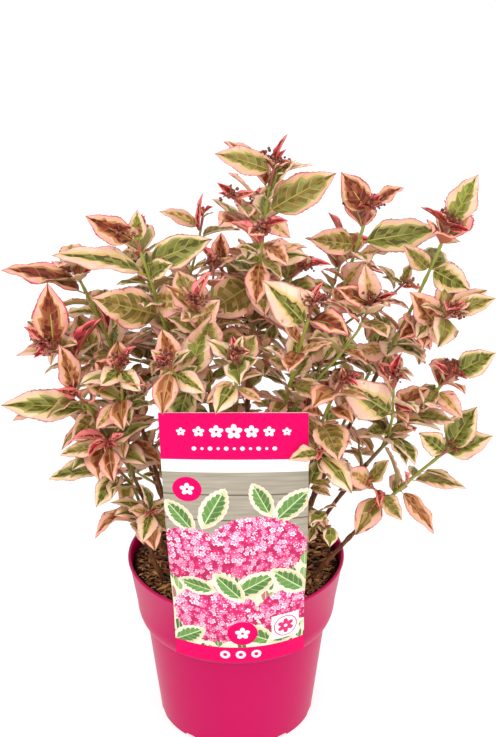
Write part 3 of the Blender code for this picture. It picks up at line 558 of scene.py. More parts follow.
def mulch_tree():
    """Scatter chips over a surface, in a layer, each at its own turn, size and tone."""
    tree, given = new_geometry_tree(
        "mulch", Shapes="Collection", Density="Float", Layer="Float", Tilt="Float", Tones="Int",
        Seed="Int", Least="Float", Most="Float")
    points = add_node(tree, "GeometryNodeDistributePointsOnFaces", {
        "Mesh": given["Geometry"], "Density": given["Density"], "Seed": given["Seed"]})
    lift = add_node(tree, "FunctionNodeRandomValue", {"Max": given["Layer"], "Seed": 1})
    upward = add_node(tree, "ShaderNodeCombineXYZ", {"Z": lift.outputs["Value"]})
    piled = add_node(tree, "GeometryNodeSetPosition", {
        "Geometry": points.outputs["Points"], "Offset": upward.outputs["Vector"]})
    last_tone = Level(given["Tones"]) - 1.0
    tone = add_node(tree, "FunctionNodeRandomValue", {"Max": last_tone}, data_type="INT")
    toned = add_node(tree, "GeometryNodeStoreNamedAttribute", {
        "Geometry": piled.outputs["Geometry"], "Name": "tone", "Value": tone.outputs["Value"]},
        data_type="INT")
    tilt = [add_node(tree, "FunctionNodeRandomValue", {
        "Min": Level(given["Tilt"]) * -1.0, "Max": given["Tilt"], "Seed": seed}) for seed in (3, 4)]
    turn = add_node(tree, "FunctionNodeRandomValue", {"Max": 2 * math.pi, "Seed": 5})
    way = add_node(tree, "ShaderNodeCombineXYZ", {
        "X": tilt[0].outputs["Value"], "Y": tilt[1].outputs["Value"], "Z": turn.outputs["Value"]})
    size = add_node(tree, "FunctionNodeRandomValue", {
        "Min": given["Least"], "Max": given["Most"], "Seed": 6})
    chips = dealt_out(tree, toned.outputs["Geometry"], {
        **parts_of(tree, given["Shapes"]), "Rotation": way.outputs["Vector"],
        "Scale": size.outputs["Value"]})
    finish_by_tone(tree, chips, [shredded_bark(tone) for tone in CHIP_TONES])
    return tree


scatter = mulch_tree()
for name, (radii, density, least, most) in LAYERS.items():
    ground = turned_mesh(name, [(radius, soil_level(radius)) for radius in radii], MULCH_SIDES)
    mulch = run_tree(ground, scatter, Shapes=chip_shapes, Density=density, Layer=MULCH_LAYER,
                     Tilt=CHIP_TILT, Tones=len(CHIP_TONES), Seed=7, Least=least, Most=most)
    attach(mulch, "root")
    print(name, "faces", len(mulch.data.polygons))

# %% [markdown]
# The care card is a stiff printed sheet that hangs on the pot's rim by a tongue on its back.
# Low down it hugs the collar, and above the rim it flattens out and leans a little askew. It
# could be bent by a deformer, but its curve is easy to state: a grid is rolled to the radius
# of the collar, and the roll fades away above the rim. A Solidify modifier gives the sheet its
# thickness, with bare white board on the back and on the cut edges.

# %% Care card
CARD_WIDTH = 0.114
CARD_FOOT_Z = 0.1080
CARD_TOP_Z = 0.3490
CARD_THICKNESS = 0.0008
CARD_TOP_Y = -0.1050
CARD_CLEAR = 0.0008           # between its back and the rim
CARD_TILT = -0.022            # sideways per metre up
CARD_SHIFT = 0.0035
CARD_COLUMNS = 40
CARD_ROWS = 80
TONGUE_WIDTH = 0.024
TONGUE_FOOT_Z = 0.1440
CARD_HEIGHT = CARD_TOP_Z - CARD_FOOT_Z


def card_point(across, z):
    """A point on the card's back: it hugs the pot's collar, then goes flat."""
    rise = (z - CARD_FOOT_Z) / CARD_HEIGHT
    rim_share = (POT_HEIGHT - CARD_FOOT_Z) / CARD_HEIGHT
    rim_y = POT_TOP_RADIUS + CARD_CLEAR
    if rise < rim_share:
        share = rise / rim_share
        middle = rim_y - (rim_y - COLLAR_FOOT_RADIUS - 2.5 * CARD_CLEAR) * (1 - share)
        bend = 1 / rim_y
    else:
        share = (rise - rim_share) / (1 - rim_share)
        middle = rim_y + (-CARD_TOP_Y - rim_y) * share
        bend = (1 - share) ** 1.5 / rim_y
    if bend < 1e-4:
        return Vector((across, -middle, z))
    angle = across * bend
    return Vector((math.sin(angle) / bend, -middle + (1 - math.cos(angle)) / bend, z))


def card_sheet():
    """The card's grid with its UV map, rolled to its place."""
    bm = bmesh.new()
    bmesh.ops.create_grid(bm, x_segments=CARD_COLUMNS, y_segments=CARD_ROWS, size=0.5)
    place = bm.loops.layers.uv.new("card")
    for face in bm.faces:
        for loop in face.loops:
            loop[place].uv = (loop.vert.co.x * CARD_WIDTH, (loop.vert.co.y + 0.5) * CARD_HEIGHT)
    for vert in bm.verts:
        z = CARD_FOOT_Z + (vert.co.y + 0.5) * CARD_HEIGHT
        askew = CARD_SHIFT + CARD_TILT * (z - POT_HEIGHT)
        vert.co = card_point(vert.co.x * CARD_WIDTH + askew, z)
    return mesh_of(bm, "care_card_sheet")


def card_tongue():
    """The tongue behind the card, hooked over the rim and down inside the collar."""
    clear = CARD_CLEAR + 0.5 * CARD_THICKNESS
    inside = POT_TOP_RADIUS - 0.5 * POT_LIP - POT_WALL - CARD_CLEAR
    foot = COLLAR_FOOT_RADIUS + (TONGUE_FOOT_Z - COLLAR_FOOT_Z) / (POT_HEIGHT - COLLAR_FOOT_Z) * (
        inside - COLLAR_FOOT_RADIUS) - POT_WALL
    route = [(-POT_TOP_RADIUS - clear, POT_HEIGHT + 4 * CARD_THICKNESS),
             (-POT_TOP_RADIUS, POT_HEIGHT + CARD_THICKNESS), (-inside, POT_HEIGHT + CARD_THICKNESS),
             (-foot, TONGUE_FOOT_Z)]
    bm = bmesh.new()
    rows = [[bm.verts.new((side * TONGUE_WIDTH, y, z)) for side in (-0.5, 0.5)] for y, z in route]
    for first, second in zip(rows, rows[1:]):
        bm.faces.new((first[0], first[1], second[1], second[0]))
    return mesh_of(bm, "care_card_tongue")


# %% [markdown]
# The print is a plain nursery design: a deep pink header with a garland of white blossoms, a
# pale strip, a picture of flower heads and variegated leaves on grey boards, and a pink foot.
# It is drawn by the shader from the card's own UV map, in metres, so nothing is painted by
# hand. The florets are cells of Voronoi patterns with five petals cut by the angle round each
# cell's middle, each leaf is where two circles cross, and the rest is circles and bands.

# %% Inks and shapes of the print
INK_PINK = "#D20057"
PETAL_INKS = ("#D8346F", "#E8588C", "#F285AD", "#F9B7CF", "#FCDDE8")
GREENERY_INKS = ("#4F6B3A", "#86A267", "#D9D3B4", "#A8706A", "#6C4A3A", "#5E8048")


def typed_socket(sockets, name, kind):
    """The socket of this name and kind; a Mix node has several of the same name."""
    return next(item for item in sockets if item.name == name and item.type == kind)


def mix_colour(tree, share, under, over):
    """Lay one colour over another where the share is 1."""
    node = add_node(tree, "ShaderNodeMix", {"Factor": share}, data_type="RGBA")
    for key, value in (("A", under), ("B", over)):
        socket = typed_socket(node.inputs, key, "RGBA")
        if isinstance(value, bpy.types.NodeSocket):
            tree.links.new(value, socket)
        else:
            socket.default_value = linear(value)
    return typed_socket(node.outputs, "Result", "RGBA")


def within(value, low, high):
    """1 where a value lies between two levels."""
    return (value > low) * (value < high)


def from_point(u, v, place):
    """Steps across and up from a point of the card, and the distance from it."""
    across, up = u - place[0], v - place[1]
    return across, up, (across ** 2.0 + up ** 2.0).take("SQRT")


def card_noise(tree, u, v, pitch):
    """A soft random level over the card, 0 to 1, that changes over a pitch in metres."""
    place = add_node(tree, "ShaderNodeCombineXYZ", {"X": u, "Y": v})
    noise = add_node(tree, "ShaderNodeTexNoise", {
        "Vector": place.outputs["Vector"], "Scale": 1 / pitch})
    return Level(noise.outputs["Fac"])


def steps_of(tree, level, inks):
    """One of several flat inks, picked by a level from 0 to 1."""
    ramp = add_node(tree, "ShaderNodeValToRGB", {"Fac": level})
    ramp.color_ramp.interpolation = "CONSTANT"
    ramp.color_ramp.elements[0].color = linear(inks[0])
    ramp.color_ramp.elements[1].color = linear(inks[-1])
    ramp.color_ramp.elements[1].position = (len(inks) - 1) / len(inks)
    for index in range(1, len(inks) - 1):
        ramp.color_ramp.elements.new(index / len(inks)).color = linear(inks[index])
    return ramp.outputs["Color"]


def cells_of(tree, u, v, pitch, shift, stretch=1.0):
    """Random cells a pitch wide: steps from a cell's middle, the distance, and its three dice."""
    place = add_node(tree, "ShaderNodeCombineXYZ", {"X": u + shift, "Y": v * stretch})
    cells = add_node(tree, "ShaderNodeTexVoronoi", {
        "Vector": place.outputs["Vector"], "Scale": 1 / pitch, "Randomness": 0.9},
        voronoi_dimensions="2D")
    here = add_node(tree, "ShaderNodeSeparateXYZ", {"Vector": place.outputs["Vector"]})
    middle = add_node(tree, "ShaderNodeSeparateXYZ", {"Vector": cells.outputs["Position"]})
    across, up = (Level(here.outputs[axis]) - middle.outputs[axis] for axis in "XY")
    pick = add_node(tree, "ShaderNodeSeparateColor", {"Color": cells.outputs["Color"]})
    dice = [Level(pick.outputs[part]) for part in ("Red", "Green", "Blue")]
    return across, up, Level(cells.outputs["Distance"]), dice


# %% Pictures of the print
FLORET_PITCHES = ((0.0062, 0.000), (0.0047, 0.031), (0.0056, 0.017))   # each layer's, and its shift
FLORET_REACH = 0.50
FLORET_WAIST = 0.48           # how far in the outline goes between two petals
FLORET_EYE = 0.09
FLORET_THROAT = 0.20
CLOSED_SHARE = 0.28           # of the florets
HEAD_RAGGED = 0.55
HEAD_SHADE = 0.30
BLOSSOM_WAIST = 0.55
BOARDS_A_METRE = 42.0
JOINT_SHARE = 0.05            # of a board's width
GRAIN = (30.0, 420.0)         # fineness along the boards and across them
GREENERY_PITCH = 0.0088
GREENERY_SLANT = 0.7
GREENERY_STRETCH = 0.55
GREENERY_RIM = 0.42
PRINTED_RIB = 0.0003          # half the width of a rib in the greenery
PRINTED_WIDTH = 0.24          # half the width of a printed leaf, of its length
PRINTED_VEINS = 44.0          # radians of vein pattern along a leaf


def boards(tree, u, v):
    """Weathered grey boards with dark joints and long grain."""
    joint = (v * BOARDS_A_METRE).take("FRACT") < JOINT_SHARE
    stretched = add_node(tree, "ShaderNodeCombineXYZ", {"X": u * GRAIN[0], "Y": v * GRAIN[1]})
    grain = add_node(tree, "ShaderNodeTexNoise", {"Vector": stretched.outputs["Vector"], "Scale": 1.0})
    wood = mix_colour(tree, grain.outputs["Fac"], "#7F7668", "#AFA796")
    return mix_colour(tree, joint, wood, "#5F5849")


def greenery(tree, u, v):
    """The blurred leaves between the flower heads: small slanting cells in many tones."""
    slanting = v + u * GREENERY_SLANT
    across, _, distance, dice = cells_of(tree, u, slanting, GREENERY_PITCH, 0.0, GREENERY_STRETCH)
    inks = steps_of(tree, dice[0], GREENERY_INKS)
    inks = mix_colour(tree, distance > GREENERY_RIM, inks, "#E3D6BE")
    return mix_colour(tree, abs(across) < PRINTED_RIB, inks, "#C3C79A")


def florets(tree, u, v):
    """A field of small five-petalled florets in layers, pink on a deeper pink."""
    ink = mix_colour(tree, card_noise(tree, u, v, 0.004), "#96183F", "#CF3A70")
    for pitch, shift in FLORET_PITCHES:
        across, up, distance, dice = cells_of(tree, u, v, pitch, shift)
        turn = up.take("ARCTAN2", across) + dice[0] * FULL_TURN
        wave = abs((turn * 2.5).take("COSINE"))
        reach = FLORET_REACH * (FLORET_WAIST + wave * (1 - FLORET_WAIST))
        open_one = (distance < reach) * (dice[2] > CLOSED_SHARE)
        colour = steps_of(tree, dice[1], PETAL_INKS)
        colour = mix_colour(tree, distance < FLORET_THROAT, colour, "#DB4B82")
        colour = mix_colour(tree, distance < FLORET_EYE, colour, "#FCE6EC")
        ink = mix_colour(tree, open_one, ink, colour)
    return ink


def flower_head(tree, u, v, under, flowers, place, size):
    """A domed head of florets: ragged at its edge, in shade low down."""
    across, up, _ = from_point(u, v, place)
    wide, high = across / size[0], up / size[1]
    round_off = wide ** 2.0 + high ** 2.0
    ragged = card_noise(tree, u, v, 0.003) * HEAD_RAGGED
    inside = round_off + ragged < 1.0 + 0.5 * HEAD_RAGGED
    shade = ((0.35 - high) * HEAD_SHADE).take("MAXIMUM", 0.0).take("MINIMUM", 0.5)
    return mix_colour(tree, inside, under, mix_colour(tree, shade, flowers, "#8E1E45"))


def printed_leaf(tree, u, v, under, place, turn, length):
    """A variegated leaf: where two circles cross, with side veins and a ragged green middle."""
    width = PRINTED_WIDTH * length
    bow = (0.25 * length ** 2 - width ** 2) / (2 * width)
    across, up, _ = from_point(u, v, place)
    along = across * math.cos(turn) + up * math.sin(turn)
    beside = up * math.cos(turn) - across * math.sin(turn)
    lit = beside > 0.0
    beside = abs(beside)
    far = (along ** 2.0 + (beside + bow) ** 2.0).take("SQRT")
    slant = along - beside * 0.9
    vein_wave = (slant * (PRINTED_VEINS / length)).take("SINE")
    toothed = far + vein_wave * (0.03 * width)
    shape = toothed < bow + width
    rim = toothed > bow + 0.9 * width
    ragged = card_noise(tree, u, v, 0.0016) * (0.4 * width) + vein_wave * (0.05 * width)
    middle = far + ragged < bow + 0.86 * width
    green = mix_colour(tree, lit, "#3F6430", "#5B8443")
    green = mix_colour(tree, card_noise(tree, u, v, 0.005) * 0.5, green, "#7F9A60")
    green = mix_colour(tree, vein_wave > 0.93, green, "#86A568")
    leaf = mix_colour(tree, middle, mix_colour(tree, lit, "#C9C39C", "#E3DCC0"), green)
    leaf = mix_colour(tree, beside < 0.012 * length, leaf, "#BCCB98")
    leaf = mix_colour(tree, rim, leaf, "#EBCFC0")
    return mix_colour(tree, shape, under, leaf)


def disc(tree, u, v, under, place, radius, ink):
    """A plain round spot."""
    _, _, distance = from_point(u, v, place)
    return mix_colour(tree, distance < radius, under, ink)


def blossom(tree, u, v, under, place, radius, ink, petals=5):
    """One plain blossom, with petals cut by the angle round its middle."""
    across, up, distance = from_point(u, v, place)
    turn = up.take("ARCTAN2", across) - 0.5 * math.pi
    wave = abs((turn * (0.5 * petals)).take("COSINE"))
    reach = radius * (BLOSSOM_WAIST + wave * (1 - BLOSSOM_WAIST))
    shape = (distance < reach) * (distance > 0.2 * radius)
    return mix_colour(tree, shape, under, ink)


# %% Layout of the print
FOOT_V, PICTURE_V, STRIP_V = 0.016, 0.188, 0.1995        # the bands' borders, up the card
GREENERY_V = 0.132
HEADS = (((0.040, 0.050), (0.026, 0.022)), ((-0.040, 0.108), (0.030, 0.027)),
         ((0.016, 0.116), (0.040, 0.031)), ((-0.020, 0.050), (0.036, 0.029)))
# Each leaf of the print: its middle, its turn and its length.
PRINTED_LEAVES = (
    ((-0.045, 0.146), 2.2, 0.038), ((-0.018, 0.154), 1.1, 0.044), ((0.044, 0.156), 0.8, 0.044),
    ((0.020, 0.162), 2.0, 0.036), ((-0.034, 0.078), 2.9, 0.034), ((0.012, 0.080), 0.5, 0.046),
    ((0.042, 0.080), 2.4, 0.044), ((-0.008, 0.078), 2.3, 0.038), ((0.012, 0.028), 2.6, 0.044),
    ((0.040, 0.026), 0.4, 0.040), ((-0.044, 0.024), 0.6, 0.038),
)
GARLAND_V = 0.2245
GARLAND = (0.0066, 0.0056, 0.0046, 0.0036)              # blossoms, from the middle outward
GARLAND_STEP = 0.0135
BEADS_V = 0.2095
BADGE = ((0.039, 0.033), 0.0125)                        # a white square, to its half side
SPOTS = (((-0.038, 0.172), 0.0115), ((0.002, 0.031), 0.0125))


def header_ornament(tree, u, v, ink):
    """A garland of white blossoms, and a row of beads under it."""
    for index, radius in enumerate(GARLAND):
        for side in (1, -1) if index else (1,):
            ink = blossom(tree, u, v, ink, (side * index * GARLAND_STEP, GARLAND_V), radius, "#F4DDE6")
    for bead in range(-5, 6):
        ink = disc(tree, u, v, ink, (bead * 0.0062, BEADS_V), 0.0012 + 0.0006 * (bead % 2), "#F2D3DF")
    return ink


def badge(tree, u, v, ink):
    """A white square with a pink blossom in a thin ring."""
    place, half = BADGE
    across, up, distance = from_point(u, v, place)
    inside = within(across, -half, half) * within(up, -half, half)
    ring = within(distance, 0.78 * half, 0.86 * half)
    square = mix_colour(tree, ring, "#EFE7E8", "#C43A6B")
    square = blossom(tree, u, v, square, place, 0.62 * half, "#C8316A", 6)
    return mix_colour(tree, inside, ink, square)


def printed_card():
    """Coated card with an offset print: smooth inks under a thin clear coat."""
    made, shader = new_material("printed_coated_card", INK_PINK, 0.42, Specular_IOR_Level=0.06)
    tree = made.node_tree
    plane = add_node(tree, "ShaderNodeUVMap", uv_map="card")
    flat = add_node(tree, "ShaderNodeSeparateXYZ", {"Vector": plane.outputs["UV"]})
    u, v = Level(flat.outputs["X"]), Level(flat.outputs["Y"])
    wobble = card_noise(tree, u, v, 0.02) * 0.04
    low = v + wobble < GREENERY_V
    ink = mix_colour(tree, low, boards(tree, u, v), greenery(tree, u, v))
    flowers = florets(tree, u, v)
    for place, turn, length in PRINTED_LEAVES[:4]:
        ink = printed_leaf(tree, u, v, ink, place, turn, length)
    for place, size in HEADS:
        ink = flower_head(tree, u, v, ink, flowers, place, size)
    for place, turn, length in PRINTED_LEAVES[4:]:
        ink = printed_leaf(tree, u, v, ink, place, turn, length)
    for place, radius in SPOTS:
        ink = disc(tree, u, v, ink, place, radius, INK_PINK)
        ink = blossom(tree, u, v, ink, place, 0.5 * radius, "#F6DCE6")
    ink = badge(tree, u, v, ink)
    ink = mix_colour(tree, v > PICTURE_V, ink, "#E2DEDC")
    header = header_ornament(tree, u, v, mix_colour(tree, 0.0, INK_PINK, INK_PINK))
    ink = mix_colour(tree, v > STRIP_V, ink, header)
    ink = mix_colour(tree, v < FOOT_V, ink, INK_PINK)
    for step in (-1, 0, 1):
        ink = disc(tree, u, v, ink, (0.013 * step, 0.5 * FOOT_V), 0.0042, "#EFD5DF")
        ink = disc(tree, u, v, ink, (0.013 * step, 0.5 * FOOT_V), 0.0018, INK_PINK)
    tree.links.new(ink, shader.inputs["Base Color"])
    return made


def thicken(piece, offset, inner=0):
    """Give a flat sheet its thickness; inner is the slot of the finish of back and cut edges."""
    shell = piece.modifiers.new("thickness", "SOLIDIFY")
    shell.thickness = CARD_THICKNESS
    shell.offset = offset
    shell.material_offset = inner
    shell.material_offset_rim = inner
    plain_mesh(piece)


bare_board = new_material("bare_white_board", "#E9E6E1", 0.8)[0]
card = link_piece("care_card_sheet", card_sheet(), printed_card(), bare_board)
thicken(card, 1.0, 1)
card.data.shade_smooth()
card.data.set_sharp_from_angle(angle=math.radians(40))
tongue = link_piece("care_card_tongue", card_tongue(), bare_board)
thicken(tongue, 0.0)
for piece in (card, tongue):
    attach(piece, "root")
    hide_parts("care_card")
print("card faces", len(card.data.polygons))

# %% [markdown]
# How the shrub grows. Each shoot is a smooth curve from its foot in the compost to its tip,
# upright at the top of the crown and leaning out lower down. Pairs of leaves sit opposite
# each other and every pair is turned a quarter round from the one above, as on the real
# plant. A leaf that would leave its mass's space, or touch a limb, turns aside, shrinks, or
# isn't grown. The rule and its sizes are those of the solids, so both grow the same leaves.

# %% Sizes of the growth
GAP = 0.0003
LIMB_FOOT_RADIUS = 0.0020
LIMB_END_RADIUS = 0.0016
FOOT_LENGTH = 0.004           # a straight start, so that the foot stands square on the compost
FOOT_LEAN = 40                # degrees, for a limb that starts FOOT_LEAN_REACH from the middle
FOOT_LEAN_REACH = 0.075
CURVE_PULL = 0.36             # how far a curve keeps its first and last direction
PATH_STEPS = 24
TWIG_STEPS = 12
TWIG_FOLLOW = 0.8             # how much a twig starts along its parent
TWIG_RISE = 1.2               # and turns up at its end
TIP_UPRIGHT_Z = 0.50          # tips this high stand nearly upright
TIP_LEAN_FALL = 0.25          # tips this much lower lean out in full
TIP_LEANS = (12, 40)          # degrees from upright, and how many more lower down
STEM_STEP = 0.026
TWIG_ROOM = 0.0025            # clearance of a twig from its neighbours' space
SITE_START = 0.25             # a twig counts for its mass's space from this share on

NODE_DROP = (0.004, 0.020, 0.050, 0.084, 0.118)          # below the tip
LEAF_RUN = (0.040, 0.054, 0.062, 0.064, 0.058)           # leaf at each node
LEAF_RISE = (58, 40, 26, 16, 6)                          # degrees up
LEAF_WIDTH = 0.54             # of its length
LEAF_THICK = 0.045
LEAF_ARCH = 0.80              # radians that the midrib bends down
SET_ARCH = 0.45               # the same for the set leaves
SHORT_SIDE = 0.2              # a leaf this near to pointing at the sky takes its side from the stem
FACE_OUT = 0.55               # how much a leaf at the crown's edge turns its face outward
CROWN_REACH = 0.20
SAME_DROP = 0.014             # a set leaf stands in for one this near along the stem
SAME_WAY = 0.60               # and pointing this much the same way
BELLY = 0.42                  # where a leaf is widest and thickest, as a share of its run
BELLY_RISE = 0.06             # of its width, above the midrib's arc
ROOT_SINK = 0.0006            # root of a leaf behind its place on the stem's axis
PAIR_STEP = 0.0011            # one leaf of a pair sits this much higher
AXIL_STEP = 0.0055            # and the small leaves above them
AXIL_SHARE = 0.62             # size of the leaves between the pairs
TURN_SPREAD = 0.2             # radians
RISE_SPREAD = 9               # degrees
AXIL_RISE = 30                # degrees more for the small leaves, by how small they are
SIZE_SPREAD = (0.90, 1.10)
ARCH_SPREAD = (0.6, 1.3)
SWINGS = (0, 22, -22, 45, -45)                           # degrees tried in turn
SET_SWINGS = (0, 12, -12)
SHRINKS = (1.0, 0.84, 0.70)   # and sizes, for a leaf that doesn't fit
MARGIN = 0.0004               # kept to each side of a border between masses
LEAF_FACES = ((0, 1, 4), (1, 2, 4), (2, 3, 4), (3, 0, 4), (0, 3, 1), (1, 3, 2))

# Shoots: tip, foot on the compost, turn of the top pair in degrees from the X axis, size of
# its leaves, and how long a stretch carries leaves.
SHOOTS = {
    "top": ((0.031, 0.000, 0.509), (0.010, -0.004), 10, 1.00, 0.155),
    "upper_right": ((0.109, 0.030, 0.466), (0.034, 0.014), 10, 0.95, 0.140),
    "right_high": ((0.170, 0.000, 0.463), (0.046, 0.000), 160, 1.00, 0.140),
    "right": ((0.176, -0.030, 0.347), (0.050, -0.014), 0, 0.85, 0.110),
    "right_low": ((0.181, -0.020, 0.274), (0.064, -0.026), 0, 0.60, 0.085),
    "centre": ((0.059, -0.090, 0.432), (0.018, -0.036), 60, 0.80, 0.140),
    "upper_left": ((-0.078, -0.020, 0.460), (-0.026, -0.006), 10, 1.00, 0.140),
    "left_high": ((-0.129, 0.000, 0.425), (-0.046, 0.004), 90, 0.90, 0.130),
    "left_mid": ((-0.128, -0.050, 0.340), (-0.050, -0.022), 90, 0.85, 0.110),
    "left_low": ((-0.100, -0.050, 0.272), (-0.060, -0.030), 0, 0.75, 0.085),
    "centre_left": ((-0.030, -0.070, 0.424), (-0.014, -0.030), 45, 0.80, 0.140),
    "front": ((0.002, -0.112, 0.400), (-0.002, -0.048), 10, 0.75, 0.055),
    "front_right": ((0.082, -0.095, 0.370), (0.040, -0.040), 50, 0.80, 0.110),
    "back_high": ((0.020, 0.085, 0.452), (0.006, 0.026), 30, 1.00, 0.140),
    "back_left": ((-0.085, 0.090, 0.412), (-0.028, 0.030), 60, 0.95, 0.140),
    "back_right": ((0.095, 0.105, 0.402), (0.030, 0.036), 20, 0.95, 0.140),
    "back": ((0.000, 0.155, 0.365), (0.000, 0.054), 0, 0.95, 0.130),
    "back_left_low": ((-0.125, 0.105, 0.300), (-0.052, 0.040), 40, 0.90, 0.100),
    "back_right_low": ((0.130, 0.115, 0.295), (0.052, 0.038), 15, 0.90, 0.100),
}

# Side twigs inside a mass: tip, the shoot they leave, how far below its tip, turn and size.
TWIGS = {
    "top_red": ((0.022, -0.070, 0.481), "top", 0.100, 40, 0.60),
    "top_bud": ((-0.002, -0.030, 0.497), "top", 0.050, 20, 0.45),
    "top_left": ((-0.013, -0.010, 0.432), "top", 0.120, 70, 0.70),
    "centre_back": ((0.052, -0.010, 0.430), "top", 0.130, 20, 0.70),
    "yellow": ((0.143, 0.050, 0.394), "upper_right", 0.115, 0, 0.45),
    "right_bend": ((0.171, -0.040, 0.405), "right_high", 0.100, 20, 0.80),
    "centre_right": ((0.106, -0.050, 0.416), "centre", 0.125, 60, 0.75),
    "right_in": ((0.124, -0.070, 0.362), "right", 0.090, 30, 0.60),
    "right_low_in": ((0.108, -0.060, 0.262), "right_low", 0.075, 30, 0.50),
    "upright": ((-0.026, 0.030, 0.460), "upper_left", 0.110, 75, 0.75),
    "red_star": ((-0.016, -0.030, 0.440), "centre_left", 0.070, 20, 0.60),
    "left": ((-0.149, -0.030, 0.373), "left_high", 0.100, 50, 0.80),
    "left_in": ((-0.088, -0.070, 0.372), "left_mid", 0.100, 50, 0.65),
    "left_mid_low": ((-0.100, -0.080, 0.308), "left_mid", 0.070, 30, 0.70),
    "left_foot": ((-0.068, -0.080, 0.247), "left_low", 0.070, 60, 0.60),
    "front_left": ((-0.051, -0.105, 0.390), "centre_left", 0.090, 30, 0.70),
    "front_low": ((0.066, -0.110, 0.318), "front_right", 0.090, 20, 0.65),
    "back_out": ((0.060, 0.140, 0.340), "back", 0.080, 20, 0.80),
    "back_in": ((-0.045, 0.140, 0.330), "back", 0.100, 70, 0.80),
    "far_left": ((-0.150, 0.050, 0.350), "back_left", 0.120, 10, 0.80),
    "far_right": ((0.160, 0.065, 0.345), "back_right", 0.120, 10, 0.80),
    "back_mid": ((0.040, 0.070, 0.400), "back_high", 0.110, 10, 0.70),
}

# Set leaves are given as they show in the camera's view of the shrub: the view's size and
# scale in its own steps.
VIEW_ACROSS = 496
VIEW_DOWN = 737
VIEW_SCALE = 1400.0            # steps that a metre takes up, one metre from the eye
READ_STEP = 0.002              # a leaf's root is looked for at every such step down its stem
READ_REACH = 0.17
READ_ANGLE = 5                 # degrees, to which a leaf's angles are rounded
MM_PER_METRE = 1000
UPRIGHT_SIDE = 0.05            # a leaf this near to straight up takes its side from the X axis

